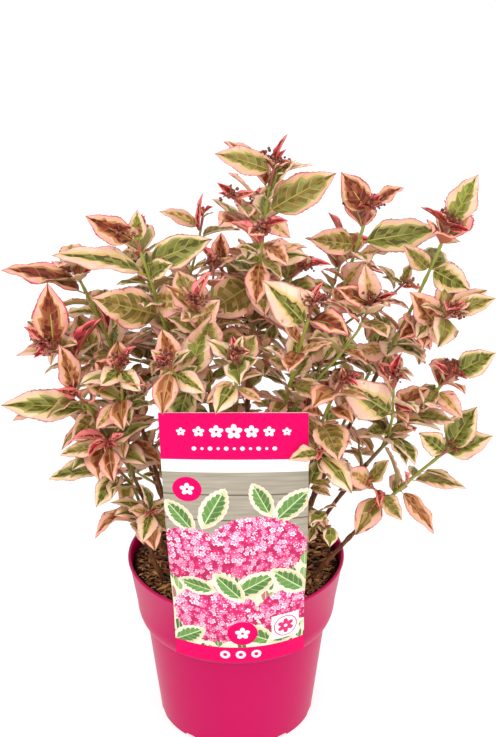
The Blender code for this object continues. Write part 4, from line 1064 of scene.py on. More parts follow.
# Leaves that carry the crown's outline and its broad faces, by the stem they leave: where root
# and tip show in the view, in steps across and down; how much further back the tip is than the
# root, in millimetres; how far the leaf's face is rolled to the eye, 0 to 1; its width as a
# percentage of its length; and its kind.
SET_LEAVES = {
    "top": (
        ((272, 172), (214, 153), -10, 0.6, 42, "olive"), ((274, 170), (288, 134), 0, 0.3, 34, "red"),
        ((272, 178), (314, 165), 0, 0.0, 36, "pale"), ((268, 206), (297, 160), -5, 0.3, 44, "green"),
        ((266, 213), (338, 174), 5, 0.9, 42, "olive"), ((266, 218), (290, 238), -15, 0.8, 55, "salmon"),
        ((259, 250), (210, 199), 0, 0.3, 42, "green"), ((258, 262), (309, 258), -10, 0.5, 44, "olive"),
        ((254, 282), (201, 313), -40, 1.0, 62, "taupe"), ((254, 284), (290, 262), -10, 0.3, 48, "green"),
    ),
    "top_bud": (
        ((231, 194), (216, 183), -5, 0.8, 50, "red"), ((233, 197), (256, 192), -8, 0.8, 50, "coral"),
    ),
    "upper_right": (
        ((368, 214), (341, 172), 0, 1.0, 56, "maroon"), ((361, 245), (309, 238), -10, 1.0, 52, "taupe"),
        ((361, 244), (444, 232), 0, 0.8, 40, "green"), ((350, 285), (364, 262), -15, 1.0, 60, "salmon"),
        ((347, 290), (338, 312), -30, 0.9, 55, "brown"), ((353, 262), (392, 250), 10, 0.3, 46, "salmon"),
    ),
    "yellow": (
        ((405, 282), (414, 262), 0, 0.6, 42, "bright"), ((403, 284), (381, 278), 0, 0.3, 34, "bright"),
        ((400, 288), (424, 290), 0, 0.4, 42, "coral"),
    ),
    "right_high": (
        ((449, 225), (481, 175), 0, 1.0, 48, "bright"), ((447, 227), (420, 207), 0, 0.2, 36, "red"),
        ((446, 228), (471, 231), -8, 0.7, 50, "red"), ((430, 272), (402, 246), -5, 1.0, 50, "olive"),
        ((431, 268), (470, 290), -20, 0.9, 62, "pale"),
    ),
    "right_bend": (
        ((449, 315), (496, 298), 0, 0.6, 42, "olive"), ((435, 324), (408, 293), -15, 1.0, 52, "brown"),
        ((433, 325), (441, 347), -20, 0.8, 58, "salmon"), ((425, 325), (398, 340), -20, 0.4, 48, "maroon"),
        ((452, 312), (466, 300), 0, 0.8, 50, "coral"),
    ),
    "right": (
        ((451, 374), (496, 352), 0, 1.0, 52, "green"), ((449, 376), (434, 362), 0, 0.6, 40, "red"),
        ((437, 388), (463, 418), -20, 0.8, 50, "salmon"), ((436, 390), (424, 412), -20, 0.6, 50, "olive"),
        ((411, 416), (455, 424), -10, 0.4, 48, "olive"),
    ),
    "right_in": (
        ((392, 415), (340, 381), -20, 1.0, 50, "pale"), ((394, 379), (402, 352), 0, 0.5, 50, "red"),
        ((392, 402), (412, 412), -10, 0.7, 50, "red"),
    ),
    "centre_right": (
        ((371, 303), (365, 263), 0, 0.9, 52, "salmon"), ((371, 304), (336, 288), -10, 0.8, 50, "maroon"),
        ((370, 306), (397, 293), 0, 0.5, 44, "red"), ((369, 308), (357, 296), 0, 0.5, 50, "red"),
    ),
    "centre": (
        ((306, 325), (262, 279), -20, 1.0, 48, "pale"), ((312, 305), (323, 280), 0, 0.5, 45, "coral"),
        ((313, 304), (300, 288), -5, 0.7, 50, "pale"), ((297, 354), (334, 344), -10, 0.2, 40, "salmon"),
        ((290, 384), (331, 401), -20, 0.3, 44, "olive"), ((293, 374), (262, 348), -30, 0.3, 38, "pale"),
    ),
    "upper_left": (
        ((136, 242), (84, 218), -5, 0.9, 46, "maroon"), ((137, 244), (137, 208), 0, 0.5, 44, "bright"),
        ((148, 276), (52, 252), 0, 0.3, 31, "pale"), ((162, 315), (91, 297), -20, 1.0, 50, "taupe"),
        ((145, 266), (213, 238), -10, 0.8, 40, "green"), ((148, 278), (174, 264), -20, 0.6, 50, "green"),
        ((157, 300), (191, 300), -30, 0.9, 60, "salmon"),
    ),
    "upright": (
        ((201, 228), (158, 212), -5, 0.5, 42, "salmon"), ((200, 234), (203, 193), 0, 0.6, 24, "coral"),
    ),
    "left_high": (
        ((87, 294), (0, 272), 0, 0.2, 38, "maroon"), ((105, 332), (96, 304), -15, 0.7, 46, "red"),
        ((80, 280), (109, 262), 0, 0.4, 44, "coral"),
    ),
    "left": (
        ((52, 348), (48, 281), -5, 1.0, 46, "maroon"), ((48, 343), (22, 327), 0, 0.8, 50, "coral"),
        ((60, 354), (66, 323), -5, 0.4, 44, "red"), ((50, 346), (34, 359), -10, 0.7, 46, "red"),
        ((75, 360), (104, 318), -15, 0.6, 44, "red"),
    ),
    "left_mid": (
        ((74, 392), (60, 343), 0, 0.8, 44, "brown"), ((77, 395), (54, 389), -15, 1.0, 60, "coral"),
        ((90, 410), (0, 407), -10, 0.7, 36, "green"), ((92, 412), (12, 424), 10, 0.3, 40, "brown"),
        ((96, 418), (72, 442), -30, 0.8, 60, "taupe"),
    ),
    "left_in": (
        ((120, 368), (100, 386), -20, 1.0, 62, "pale"), ((120, 370), (141, 392), -15, 1.0, 60, "pale"),
        ((122, 398), (130, 426), -15, 0.5, 44, "green"), ((122, 404), (96, 430), -20, 0.7, 50, "salmon"),
    ),
    "left_mid_low": (
        ((109, 446), (60, 457), 0, 0.3, 36, "olive"), ((108, 446), (126, 434), -5, 0.6, 50, "coral"),
    ),
    "left_low": (
        ((115, 468), (47, 478), 0, 0.4, 38, "green"), ((117, 470), (95, 507), -20, 0.9, 50, "pale"),
        ((128, 480), (126, 510), -20, 0.6, 48, "olive"), ((116, 468), (128, 449), -8, 0.5, 45, "salmon"),
    ),
    "left_foot": (
        ((150, 512), (140, 484), -5, 0.5, 48, "green"), ((150, 513), (141, 543), -30, 0.9, 55, "pale"),
        ((149, 514), (128, 510), -10, 0.7, 55, "salmon"),
    ),
    "centre_left": (
        ((196, 312), (181, 322), -20, 0.5, 60, "salmon"), ((203, 349), (212, 316), -20, 1.0, 60, "olive"),
        ((199, 322), (220, 300), -10, 0.8, 55, "salmon"),
    ),
    "front_left": (
        ((172, 374), (205, 392), -15, 0.8, 52, "pale"), ((180, 378), (197, 366), 0, 0.7, 60, "green"),
        ((168, 366), (150, 350), 0, 0.6, 50, "salmon"),
    ),
    "front": (
        ((236, 369), (259, 359), -10, 0.7, 50, "green"), ((236, 380), (206, 404), -5, 0.5, 40, "salmon"),
        ((236, 388), (262, 404), -5, 0.5, 40, "salmon"), ((236, 358), (243, 336), 0, 0.5, 44, "pale"),
    ),
    "right_low": (
        ((443, 454), (494, 436), 0, 1.0, 48, "green"), ((447, 451), (479, 407), 0, 0.9, 50, "green"),
        ((444, 453), (419, 432), -10, 0.8, 52, "pale"), ((410, 480), (467, 487), -10, 0.2, 34, "olive"),
        ((400, 489), (434, 534), -20, 0.4, 36, "brown"), ((398, 490), (384, 446), -10, 0.2, 30, "olive"),
        ((404, 485), (404, 470), -10, 0.6, 50, "coral"),
    ),
    "right_low_in": (
        ((368, 483), (388, 459), 0, 0.5, 50, "olive"), ((370, 486), (344, 470), -10, 0.8, 55, "salmon"),
        ((380, 495), (366, 522), -15, 0.7, 50, "brown"), ((378, 494), (402, 520), -15, 0.6, 50, "olive"),
    ),
    "front_low": (
        ((318, 451), (288, 461), -12, 0.7, 50, "pale"), ((317, 457), (336, 477), -15, 0.8, 50, "green"),
        ((319, 453), (342, 440), 0, 0.6, 50, "brown"),
    ),
    "front_right": (
        ((334, 394), (350, 375), 0, 0.5, 48, "salmon"), ((329, 402), (312, 386), -15, 0.5, 44, "olive"),
        ((321, 424), (352, 446), -15, 0.6, 46, "brown"),
    ),
}

# %% Curves of the shoots


def curve_between(start, lift, tip, lean, count):
    """Points along a smooth limb that starts along lift and ends along lean."""
    reach = (tip - start).length
    first = start + lift * reach * CURVE_PULL
    second = tip - lean * reach * CURVE_PULL
    points = []
    for step in range(count + 1):
        t = step / count
        points.append(start * (1 - t) ** 3 + first * 3 * t * (1 - t) ** 2
                      + second * 3 * t * t * (1 - t) + tip * t ** 3)
    return points


def tip_lean(tip):
    """Which way a shoot's tip points: upright at the top, outward lower down."""
    outward = Vector((tip.x, tip.y, 0.0)).normalized()
    share = min(max((TIP_UPRIGHT_Z - tip.z) / TIP_LEAN_FALL, 0.0), 1.0)
    angle = math.radians(TIP_LEANS[0] + TIP_LEANS[1] * share)
    return outward * math.sin(angle) + Vector((0, 0, 1)) * math.cos(angle)


def foot_lift(foot):
    """Which way a limb leaves the compost: leaning out more, further from the middle."""
    outward = Vector((foot.x, foot.y, 0.0))
    angle = math.radians(FOOT_LEAN) * min(1.0, (outward.length / FOOT_LEAN_REACH) ** 2)
    return outward.normalized() * math.sin(angle) + Vector((0, 0, 1)) * math.cos(angle)


class Path:
    """A polyline that can be read by its distance from the start."""

    def __init__(self, points):
        self.points = points
        self.lengths = [0.0]
        for first, second in zip(points, points[1:]):
            self.lengths.append(self.lengths[-1] + (second - first).length)
        self.total = self.lengths[-1]

    def at(self, distance):
        """The point and the direction at a distance from the start."""
        distance = min(max(distance, 0.0), self.total)
        for index in range(1, len(self.points)):
            if distance <= self.lengths[index] or index == len(self.points) - 1:
                first, second = self.points[index - 1], self.points[index]
                span = self.lengths[index] - self.lengths[index - 1]
                share = (distance - self.lengths[index - 1]) / span
                return first.lerp(second, share), (second - first).normalized()

    def part(self, start, end, step):
        """Points evenly spaced from start to end."""
        count = max(1, round((end - start) / step))
        return [self.at(start + (end - start) * index / count)[0] for index in range(count + 1)]


def grow_paths():
    """The path of every shoot, from its foot to its tip."""
    paths = {}
    for name, (tip, foot, _, _, _) in SHOOTS.items():
        tip, start = Vector(tip), Vector((*foot, SOIL_TOP + GAP))
        lift = foot_lift(start)
        rooted = start + Vector((0, 0, FOOT_LENGTH))
        paths[name] = Path([start] + curve_between(rooted, lift, tip, tip_lean(tip), PATH_STEPS))
    return paths


def grow_twigs(paths):
    """The paths of the side twigs inside the masses, under their shoot's name."""
    twigs = {name: [] for name in SHOOTS}
    for name, (tip, parent, below, turn, size) in TWIGS.items():
        tip, path = Vector(tip), paths[parent]
        place, direction = path.at(path.total - below)
        aim = (tip - place).normalized()
        lift = (aim + direction * TWIG_FOLLOW).normalized()
        lean = (aim + Vector((0, 0, TWIG_RISE))).normalized()
        twigs[parent].append((name, Path(curve_between(place, lift, tip, lean, TWIG_STEPS)),
                              turn, size))
    return twigs


paths = grow_paths()
twigs = grow_twigs(paths)
print("shoots", len(paths), "longest", round(max(path.total for path in paths.values()), 3), "m")

# %% Placing of the leaves


def across_to(direction, turn):
    """A unit vector square to a direction, at a compass turn from the X axis."""
    flat = Vector((math.cos(turn), math.sin(turn), 0.0))
    return (flat - direction * flat.dot(direction)).normalized()


def arc_point(leaf, share):
    """A point on a leaf's midrib, which bends down along an arc."""
    bend = leaf["arch"] * share
    radius = leaf["run"] / leaf["arch"]
    return (leaf["base"] + leaf["along"] * radius * math.sin(bend)
            - leaf["up"] * radius * (1 - math.cos(bend)))


def leaf_corners(leaf):
    """The five corners of a leaf solid: root, right, tip, left and the ridge."""
    side = leaf["along"].cross(leaf["up"]).normalized()
    belly = arc_point(leaf, BELLY) + leaf["up"] * BELLY_RISE * leaf["width"]
    half = 0.5 * leaf["width"]
    return [
        leaf["base"] - leaf["along"] * ROOT_SINK,
        belly + side * half,
        arc_point(leaf, 1.0),
        belly - side * half,
        belly + leaf["up"] * LEAF_THICK * leaf["run"],
    ]


def leaf_on(base, along, fallback, run):
    """A leaf from a point along a direction, its face to the sky and a little outward."""
    sky = Vector((0, 0, 1)) + Vector((base.x, base.y, 0.0)) * (FACE_OUT / CROWN_REACH)
    side = along.cross(sky)
    if side.length < SHORT_SIDE:
        side = fallback
    return {"base": base, "along": along, "up": side.cross(along).normalized(), "run": run,
            "width": run * LEAF_WIDTH}


def make_leaf(base, stem, turn, rise, run, arch):
    """A leaf's placing: where it leaves the stem, which way, and how long."""
    outward = across_to(stem, turn)
    along = (outward * math.cos(rise) + stem * math.sin(rise)).normalized()
    leaf = leaf_on(base, along, outward.cross(stem), run)
    leaf["arch"] = arch
    return leaf


AHEAD = Vector((0.0, math.cos(CAMERA_PITCH), -math.sin(CAMERA_PITCH)))
RIGHT = Vector((1.0, 0.0, 0.0))
UPWARD = RIGHT.cross(AHEAD)
EYE = Vector((CAMERA_TARGET[0], 0.0, CAMERA_TARGET[1])) - AHEAD * CAMERA_DISTANCE


def seen_at(point):
    """Where a point shows in the camera's view, in steps across and down."""
    offset = point - EYE
    scale = VIEW_SCALE / offset.dot(AHEAD)
    return Vector((VIEW_ACROSS / 2 + scale * offset.dot(RIGHT),
                   VIEW_DOWN / 2 - scale * offset.dot(UPWARD)))


def place_seen_at(spot, depth):
    """The place at this Y that shows at a spot of the camera's view."""
    ray = (AHEAD + RIGHT * ((spot[0] - VIEW_ACROSS / 2) / VIEW_SCALE)
           + UPWARD * ((VIEW_DOWN / 2 - spot[1]) / VIEW_SCALE))
    return EYE + ray * ((depth - EYE.y) / ray.y)


def level_frame(along):
    """Two directions across another: one level, and the one above it."""
    side = along.cross(Vector((0.0, 0.0, 1.0)))
    if side.length < UPRIGHT_SIDE:
        side = Vector((1.0, 0.0, 0.0))
    side.normalize()
    return side, side.cross(along).normalized()


def read_leaf(path, root, tip, deeper, facing):
    """How a leaf grows that shows from root to tip: its drop below the stem's tip and its
    length in millimetres, and its turn, rise and roll in degrees."""
    steps = range(1, int(path.total / READ_STEP))
    drops = [step * READ_STEP for step in steps if step * READ_STEP < READ_REACH]
    drop = min(drops, key=lambda below: (seen_at(path.at(path.total - below)[0])
                                         - Vector(root)).length)
    base, _ = path.at(path.total - drop)
    chord = place_seen_at(tip, base.y + deeper / MM_PER_METRE) - base
    half = 0.5 * SET_ARCH
    run = chord.length * half / math.sin(half)
    chord.normalize()
    side, above = level_frame(chord)
    view = (EYE - base).normalized()
    view = (view - chord * view.dot(chord)).normalized()
    roll = facing * math.atan2(view.dot(side), view.dot(above))
    above = above * math.cos(roll) + side * math.sin(roll)
    along = (chord * math.cos(half) + above * math.sin(half)).normalized()
    leaf_up = (above * math.cos(half) - chord * math.sin(half)).normalized()
    side, above = level_frame(along)
    angles = (math.atan2(along.y, along.x), math.asin(along.z),
              math.atan2(leaf_up.dot(side), leaf_up.dot(above)))
    return (round(MM_PER_METRE * drop), round(MM_PER_METRE * run),
            *(READ_ANGLE * round(math.degrees(angle) / READ_ANGLE) for angle in angles))


def set_leaves(name, path):
    """Ways to place the leaves that are given for a stem, with their drop and direction."""
    made, taken = [], []
    for root, tip, deeper, facing, width, kind in SET_LEAVES.get(name, ()):
        drop, run, turn, rise, roll = read_leaf(path, root, tip, deeper, facing)
        base, _ = path.at(path.total - 0.001 * drop)
        ways = []
        for shrink in SHRINKS:
            for swing in SET_SWINGS:
                flat, steep, lean = (math.radians(angle) for angle in (turn + swing, rise, roll))
                along = Vector((math.cos(flat) * math.cos(steep),
                                math.sin(flat) * math.cos(steep), math.sin(steep)))
                side = along.cross(Vector((0, 0, 1))).normalized()
                up = side.cross(along) * math.cos(lean) + side * math.sin(lean)
                ways.append({"base": base, "along": along, "up": up, "run": 0.001 * run * shrink,
                             "width": 0.00001 * run * width * shrink, "arch": SET_ARCH,
                             "kind": kind})
        made.append(ways)
        taken.append((0.001 * drop, ways[0]["along"]))
    return made, taken


def leaves_along(path, leafy, turn, size, taken, dice):
    """Ways to place each leaf down a shoot: opposite pairs, and axil leaves."""
    leaves = []
    for index, drop in enumerate(NODE_DROP):
        if drop > leafy:
            break
        pair_turn = turn + index * 0.5 * math.pi + dice.uniform(-TURN_SPREAD, TURN_SPREAD)
        spokes = [(0.0, 1.0, 0.0), (math.pi, 1.0, PAIR_STEP)]
        if index > 1:
            spokes += [(0.5 * math.pi, AXIL_SHARE, AXIL_STEP),
                       (-0.5 * math.pi, AXIL_SHARE, AXIL_STEP + PAIR_STEP)]
        for spoke, share, higher in spokes:
            base, stem = path.at(path.total - drop + higher)
            rise = LEAF_RISE[index] + dice.uniform(-RISE_SPREAD, RISE_SPREAD) + AXIL_RISE * (1 - share)
            run = LEAF_RUN[index] * size * share * dice.uniform(*SIZE_SPREAD)
            arch = LEAF_ARCH * dice.uniform(*ARCH_SPREAD)
            ways = [
                make_leaf(base, stem, pair_turn + spoke + math.radians(swing),
                          math.radians(rise), run * shrink, arch)
                for shrink in SHRINKS for swing in SWINGS]
            for way in ways:
                way["node"], way["axil"] = index, share < 1.0
            if not any(abs(drop - higher - there) < SAME_DROP and way.dot(ways[0]["along"]) > SAME_WAY
                       for there, way in taken):
                leaves.append(ways)
    return leaves


class Space:
    """The space of one mass: nearer to its own stems than to the others'."""

    def __init__(self, own, sites):
        self.own = np.array(sites[own])
        self.others = np.array([site for name in sites if name != own for site in sites[name]])

    def room(self, point):
        """How far a point lies inside the space, below zero outside it."""
        point = np.array(point)
        squares = ((self.own - point) ** 2).sum(axis=1)
        nearest = self.own[squares.argmin()]
        beyond = ((self.others - point) ** 2).sum(axis=1) - squares.min()
        apart = np.sqrt(((self.others - nearest) ** 2).sum(axis=1))
        return (beyond / (2 * apart)).min()


def leaf_samples(corners):
    """Corners of a leaf and points on its edges, without its root."""
    root, right, tip, left, ridge = corners
    samples = [right, tip, left, ridge]
    for side in (left, right):
        samples += [root.lerp(side, 0.6), tip.lerp(side, 0.5)]
    return samples


def leaf_tree(leaf):
    """A search tree of a leaf solid's faces."""
    return BVHTree.FromPolygons(leaf_corners(leaf), LEAF_FACES)


def node_tree(node):
    """A search tree of a node of the frame."""
    faces = [tuple(face.vertices) for face in node.data.polygons]
    return BVHTree.FromPolygons([vert.co for vert in node.data.vertices], faces)


def place_leaf(tries, space, solids, placed):
    """The first way to place a leaf that stays in its mass's space and clear
    of limbs and pot, and of the leaves before it where there is one."""
    second_best = None
    for leaf in tries:
        samples = leaf_samples(leaf_corners(leaf))
        if any(space.room(sample) < MARGIN for sample in samples):
            continue
        tree = leaf_tree(leaf)
        if any(tree.overlap(solid) for solid in solids):
            continue
        if not any(tree.overlap(other) for other in placed):
            placed.append(tree)
            return leaf
        second_best = second_best or leaf
    return second_best


def stem_sites(paths, twigs):
    """Points along the stems of every mass, which share out the space between them."""
    sites = {}
    for name, (_, _, _, _, leafy) in SHOOTS.items():
        path = paths[name]
        sites[name] = path.part(path.total - leafy, path.total, STEM_STEP)
        for _, twig, _, _ in twigs[name]:
            sites[name] += twig.part(SITE_START * twig.total, twig.total, STEM_STEP)
    return sites


def leafy_stems(space, name):
    """The stem of a shoot above its limb, and the side twigs that keep to its space."""
    whole = paths[name]
    _, _, turn, size, leafy = SHOOTS[name]
    found = [(name, Path(whole.part(whole.total - leafy + GAP, whole.total, STEM_STEP)),
              leafy - AXIL_STEP, turn, size)]
    for twig_name, twig, twig_turn, twig_size in twigs[name]:
        points = twig.part(0.0, twig.total, STEM_STEP)
        if min(space.room(point) for point in points[1:]) >= TWIG_ROOM:
            path = Path(points)
            found.append((twig_name, path, path.total - 2 * AXIL_STEP, twig_turn, twig_size))
    return found


def grow_leaves():
    """Every leaf of the shrub, and the stems that carry them."""
    solids = [node_tree(node) for name, node in nodes.items() if not name.startswith("foliage")]
    sites = stem_sites(paths, twigs)
    leaves, stems, spaces = [], [], {}
    for name in SHOOTS:
        dice = random.Random("leaves of " + name)
        space = spaces[name] = Space(name, sites)
        placed = []
        for stem, path, leafy, turn, size in leafy_stems(space, name):
            stems.append((stem, path, size, name))
            given, taken = set_leaves(stem, path)
            leaves += [ways[0] for ways in given]
            placed += [leaf_tree(ways[0]) for ways in given]
            for tries in leaves_along(path, leafy, math.radians(turn), size, taken, dice):
                leaf = place_leaf(tries, space, solids, placed)
                if leaf is not None:
                    leaves.append(leaf)
    return leaves, stems, spaces, solids


leaves, stems, spaces, solids = grow_leaves()
print("leaves", len(leaves), "stems", len(stems))

# %% [markdown]
# The bare limbs. A young hydrangea stem is round and thin, with a tight bark that turns from
# green to brown in its first winter, splits lengthwise and keeps a swollen ring at each old
# pair of leaves. A displaced subdivision surface would do, but every limb follows its own
# path, so Geometry Nodes sweep a circle along the paths and push the skin in and out.

# %% Limb paths
LIMB_SIDES = 14
LIMB_STEP = 0.0022            # metres between rings
LIMB_RELIEF = 0.00042
BARK_GRAIN = 0.16             # the bark's pattern is this much slower up than across
LIMB_FINENESS = 700.0         # of the relief
FIBRE_RELIEF = 0.0004
GREEN_HEIGHTS = (0.38, 0.47)  # where brown wood goes over to green
NODE_PITCH = 0.034            # between the swollen rings
NODE_SWELL = 0.30
NODE_REACH = 0.0035


def strand_mesh(name, strands):
    """Paths as edges; a strand is a list of (point, radius, tone)."""
    points = [entry for strand in strands for entry in strand]
    mesh = bpy.data.meshes.new(name)
    edges, start = [], 0
    for strand in strands:
        edges += [(start + index, start + index + 1) for index in range(len(strand) - 1)]
        start += len(strand)
    mesh.from_pydata([point for point, _, _ in points], edges, [])
    mesh.attributes.new("girth", "FLOAT", "POINT").data.foreach_set("value", [p[1] for p in points])
    mesh.attributes.new("tone", "INT", "POINT").data.foreach_set("value", [p[2] for p in points])
    return mesh


def swell_at(distance, pitch, reach):
    """How much a stem is swollen at a distance along it, 0 to 1."""
    off = (distance + 0.5 * pitch) % pitch - 0.5 * pitch
    return math.exp(-(off / reach) ** 2)


def limb_strand(path, end):
    """Points along a bare limb, thicker at its foot and at its old nodes."""
    count = round(end / LIMB_STEP)
    strand = []
    for index in range(count + 1):
        distance = end * index / count
        point, _ = path.at(distance)
        girth = LIMB_FOOT_RADIUS + (LIMB_END_RADIUS - LIMB_FOOT_RADIUS) * index / count
        girth *= 1 + NODE_SWELL * swell_at(end - distance, NODE_PITCH, NODE_REACH)
        strand.append((point, girth, 0))
    return strand


limb_strands = [limb_strand(path, path.total - SHOOTS[name][4]) for name, path in paths.items()]
print("limbs", len(limb_strands))

# %% Bark of the limbs


def tube_tree(name, finishes):
    """Sweep a circle along strands, roughen the skin, and give each face its finish."""
    tree, given = new_geometry_tree(name, Sides="Int", Relief="Float", Fineness="Float")
    curve = add_node(tree, "GeometryNodeMeshToCurve", {"Mesh": given["Geometry"]})
    sized = add_node(tree, "GeometryNodeSetCurveRadius", {
        "Curve": curve.outputs["Curve"], "Radius": named(tree, "girth")})
    ring = add_node(tree, "GeometryNodeCurvePrimitiveCircle", {
        "Resolution": given["Sides"], "Radius": 1.0})
    swept = add_node(tree, "GeometryNodeCurveToMesh", {
        "Curve": sized.outputs["Curve"], "Profile Curve": ring.outputs["Curve"],
        "Scale": named(tree, "girth"), "Fill Caps": True})
    place = add_node(tree, "GeometryNodeInputPosition")
    squeezed = add_node(tree, "ShaderNodeVectorMath", {
        0: place.outputs["Position"], 1: (1.0, 1.0, 0.22)}, operation="MULTIPLY")
    rough = add_node(tree, "ShaderNodeTexNoise", {
        "Vector": squeezed.outputs["Vector"], "Scale": given["Fineness"], "Detail": 3.0})
    depth = (Level(rough.outputs["Fac"]) - 0.5) * given["Relief"]
    normal = add_node(tree, "GeometryNodeInputNormal")
    push = add_node(tree, "ShaderNodeVectorMath", {
        0: normal.outputs["Normal"], "Scale": depth * 2.0}, operation="SCALE")
    pushed = add_node(tree, "GeometryNodeSetPosition", {
        "Geometry": swept.outputs["Mesh"], "Offset": push.outputs["Vector"]})
    real = add_node(tree, "GeometryNodeRealizeInstances", {"Geometry": pushed.outputs["Geometry"]})
    finish_by_tone(tree, real.outputs["Geometry"], finishes)
    return tree


def young_bark():
    """Bark of one and two year wood: matt brown over green, split along its length."""
    made, shader = new_material("young_hydrangea_bark", "#5A3825", 0.78, Specular_IOR_Level=0.15)
    tree = made.node_tree
    place = object_coordinates(tree)
    stretched = add_node(tree, "ShaderNodeMapping", {"Vector": place, "Scale": (1.0, 1.0, BARK_GRAIN)})
    fibre, brown = mottled(tree, stretched.outputs["Vector"], 900.0, 4.0, ("#3A2116", "#8A5637"),
                           (0.3, 0.75))
    height = add_node(tree, "ShaderNodeSeparateXYZ", {"Vector": place})
    blotch = add_node(tree, "ShaderNodeTexNoise", {"Vector": place, "Scale": 60.0})
    level = Level(height.outputs["Z"]) + Level(blotch.outputs["Fac"]) * 0.12
    green = add_node(tree, "ShaderNodeMapRange", {
        "Value": level, "From Min": GREEN_HEIGHTS[0], "From Max": GREEN_HEIGHTS[1],
        "To Min": 0.0, "To Max": 0.8})
    tree.links.new(mix_colour(tree, green.outputs["Result"], brown, "#7F8A3A"),
                   shader.inputs["Base Color"])
    roughen(shader, fibre, 0.5, FIBRE_RELIEF)
    return made


def sweep(name, strands, finishes, **sizes):
    """A piece of round stems along strands."""
    piece = link_piece(name, strand_mesh(name, strands))
    run_tree(piece, tube_tree(name, finishes), **sizes)
    piece.data.shade_smooth()
    return piece


limbs = sweep("bare_limbs", limb_strands, [young_bark()],
              Sides=LIMB_SIDES, Relief=LIMB_RELIEF, Fineness=LIMB_FINENESS)
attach(limbs, "root")
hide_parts(*[name for name in nodes if name.startswith("limb_")])
print("limb faces", len(limbs.data.polygons))

# %% [markdown]
# The leaves. A leaf of this kind is oval with a drawn-out point and a finely toothed edge. Its
# middle is grey-green and feathers out along the side veins into a broad margin of cream and
# salmon, with a thin pink edge. Young leaves are red with a maroon middle. A painted image
# would be the usual way, but the export needs plain colours on a cloud of leaves. So each leaf
# pattern is a mesh whose rows run along the side veins, and every face has one plain tone: the
# green stops at another face in each row, which gives the feathered border.

# %% Tones of the leaves
LEAF_TONES = {
    "midrib": "#A8A252", "vein": "#9C8E4F", "green_vein": "#8C8A46", "taupe_vein": "#AC9060",
    "deep_green": "#544E1C", "green": "#6E6F2A", "olive": "#867034", "grey_green": "#989051",
    "bright_green": "#8A962C", "sage": "#827E40", "umber": "#6E5C2A", "blush": "#CAA56E",
    "straw": "#D6BA81", "cream": "#E2C2AC", "pale_salmon": "#DEB29C", "light_salmon": "#DAA48E",
    "salmon": "#DCA47D", "rose": "#E0A294", "pink": "#E89A8E", "edge_pink": "#E47C78",
    "red": "#D24A54", "deep_red": "#AC3334", "maroon": "#7C301E", "dark_maroon": "#582416",
    "taupe": "#A48653", "mauve_brown": "#905232", "warm_brown": "#AC7446",
    "back_green": "#BAA868", "back_cream": "#DEBC92", "back_red": "#C87258", "petiole": "#AD9836",
}
TONE_NUMBER = {name: number for number, name in enumerate(LEAF_TONES)}


def leaf_skin(tone, colour):
    """A living leaf: a softly glossy, thinly waxed skin in one plain colour."""
    return new_material("leaf_" + tone, colour, 0.5, Specular_IOR_Level=0.22)[0]


leaf_finishes = [leaf_skin(tone, colour) for tone, colour in LEAF_TONES.items()]

# Each kind of leaf: the light, main and dark tones of its middle; the tone of its side veins;
# of the two steps of its feathered border; the tones of its margin, its edge and its back; and
# how far out the middle goes.
LEAF_KINDS = {
    "green": (("sage", "green", "deep_green"), "green_vein", "grey_green", "straw",
              ("cream", "pale_salmon"), ("rose", "light_salmon"), ("back_green", "back_cream"),
              (0.42, 0.66)),
    "olive": (("sage", "olive", "umber"), "vein", "grey_green", "blush",
              ("pale_salmon", "light_salmon"), ("pink", "rose"), ("back_green", "back_cream"),
              (0.36, 0.62)),
    "bright": (("bright_green", "sage", "green"), "midrib", "green_vein", "straw",
               ("cream", "pale_salmon"), ("light_salmon", "rose"), ("back_green", "back_cream"),
               (0.34, 0.58)),
    "pale": (("sage", "green", "deep_green"), "green_vein", "blush", "straw",
             ("cream", "pale_salmon"), ("light_salmon", "rose"), ("back_cream", "back_cream"),
             (0.24, 0.46)),
    "salmon": (("blush", "warm_brown", "olive"), "blush", "blush", "light_salmon",
               ("light_salmon", "pale_salmon"), ("pink", "edge_pink"), ("back_cream", "back_red"),
               (0.22, 0.48)),
    "brown": (("warm_brown", "mauve_brown", "maroon"), "warm_brown", "warm_brown", "salmon",
              ("rose", "light_salmon"), ("edge_pink", "pink"), ("back_red", "back_cream"),
              (0.38, 0.64)),
    "taupe": (("taupe", "olive", "umber"), "taupe_vein", "blush", "light_salmon",
              ("light_salmon", "rose"), ("pink", "rose"), ("back_cream", "back_red"),
              (0.40, 0.66)),
    "maroon": (("mauve_brown", "maroon", "dark_maroon"), "mauve_brown", "warm_brown", "salmon",
               ("pink", "rose"), ("edge_pink", "red"), ("back_red", "back_cream"),
               (0.42, 0.66)),
    "red": (("deep_red", "maroon", "dark_maroon"), "deep_red", "deep_red", "red",
            ("red", "edge_pink"), ("edge_pink", "pink"), ("back_red", "deep_red"),
            (0.30, 0.58)),
    "coral": (("warm_brown", "deep_red", "maroon"), "salmon", "edge_pink", "edge_pink",
              ("edge_pink", "pink"), ("red", "edge_pink"), ("back_red", "edge_pink"),
              (0.22, 0.46)),
}
print("tones", len(LEAF_TONES), "kinds", len(LEAF_KINDS))

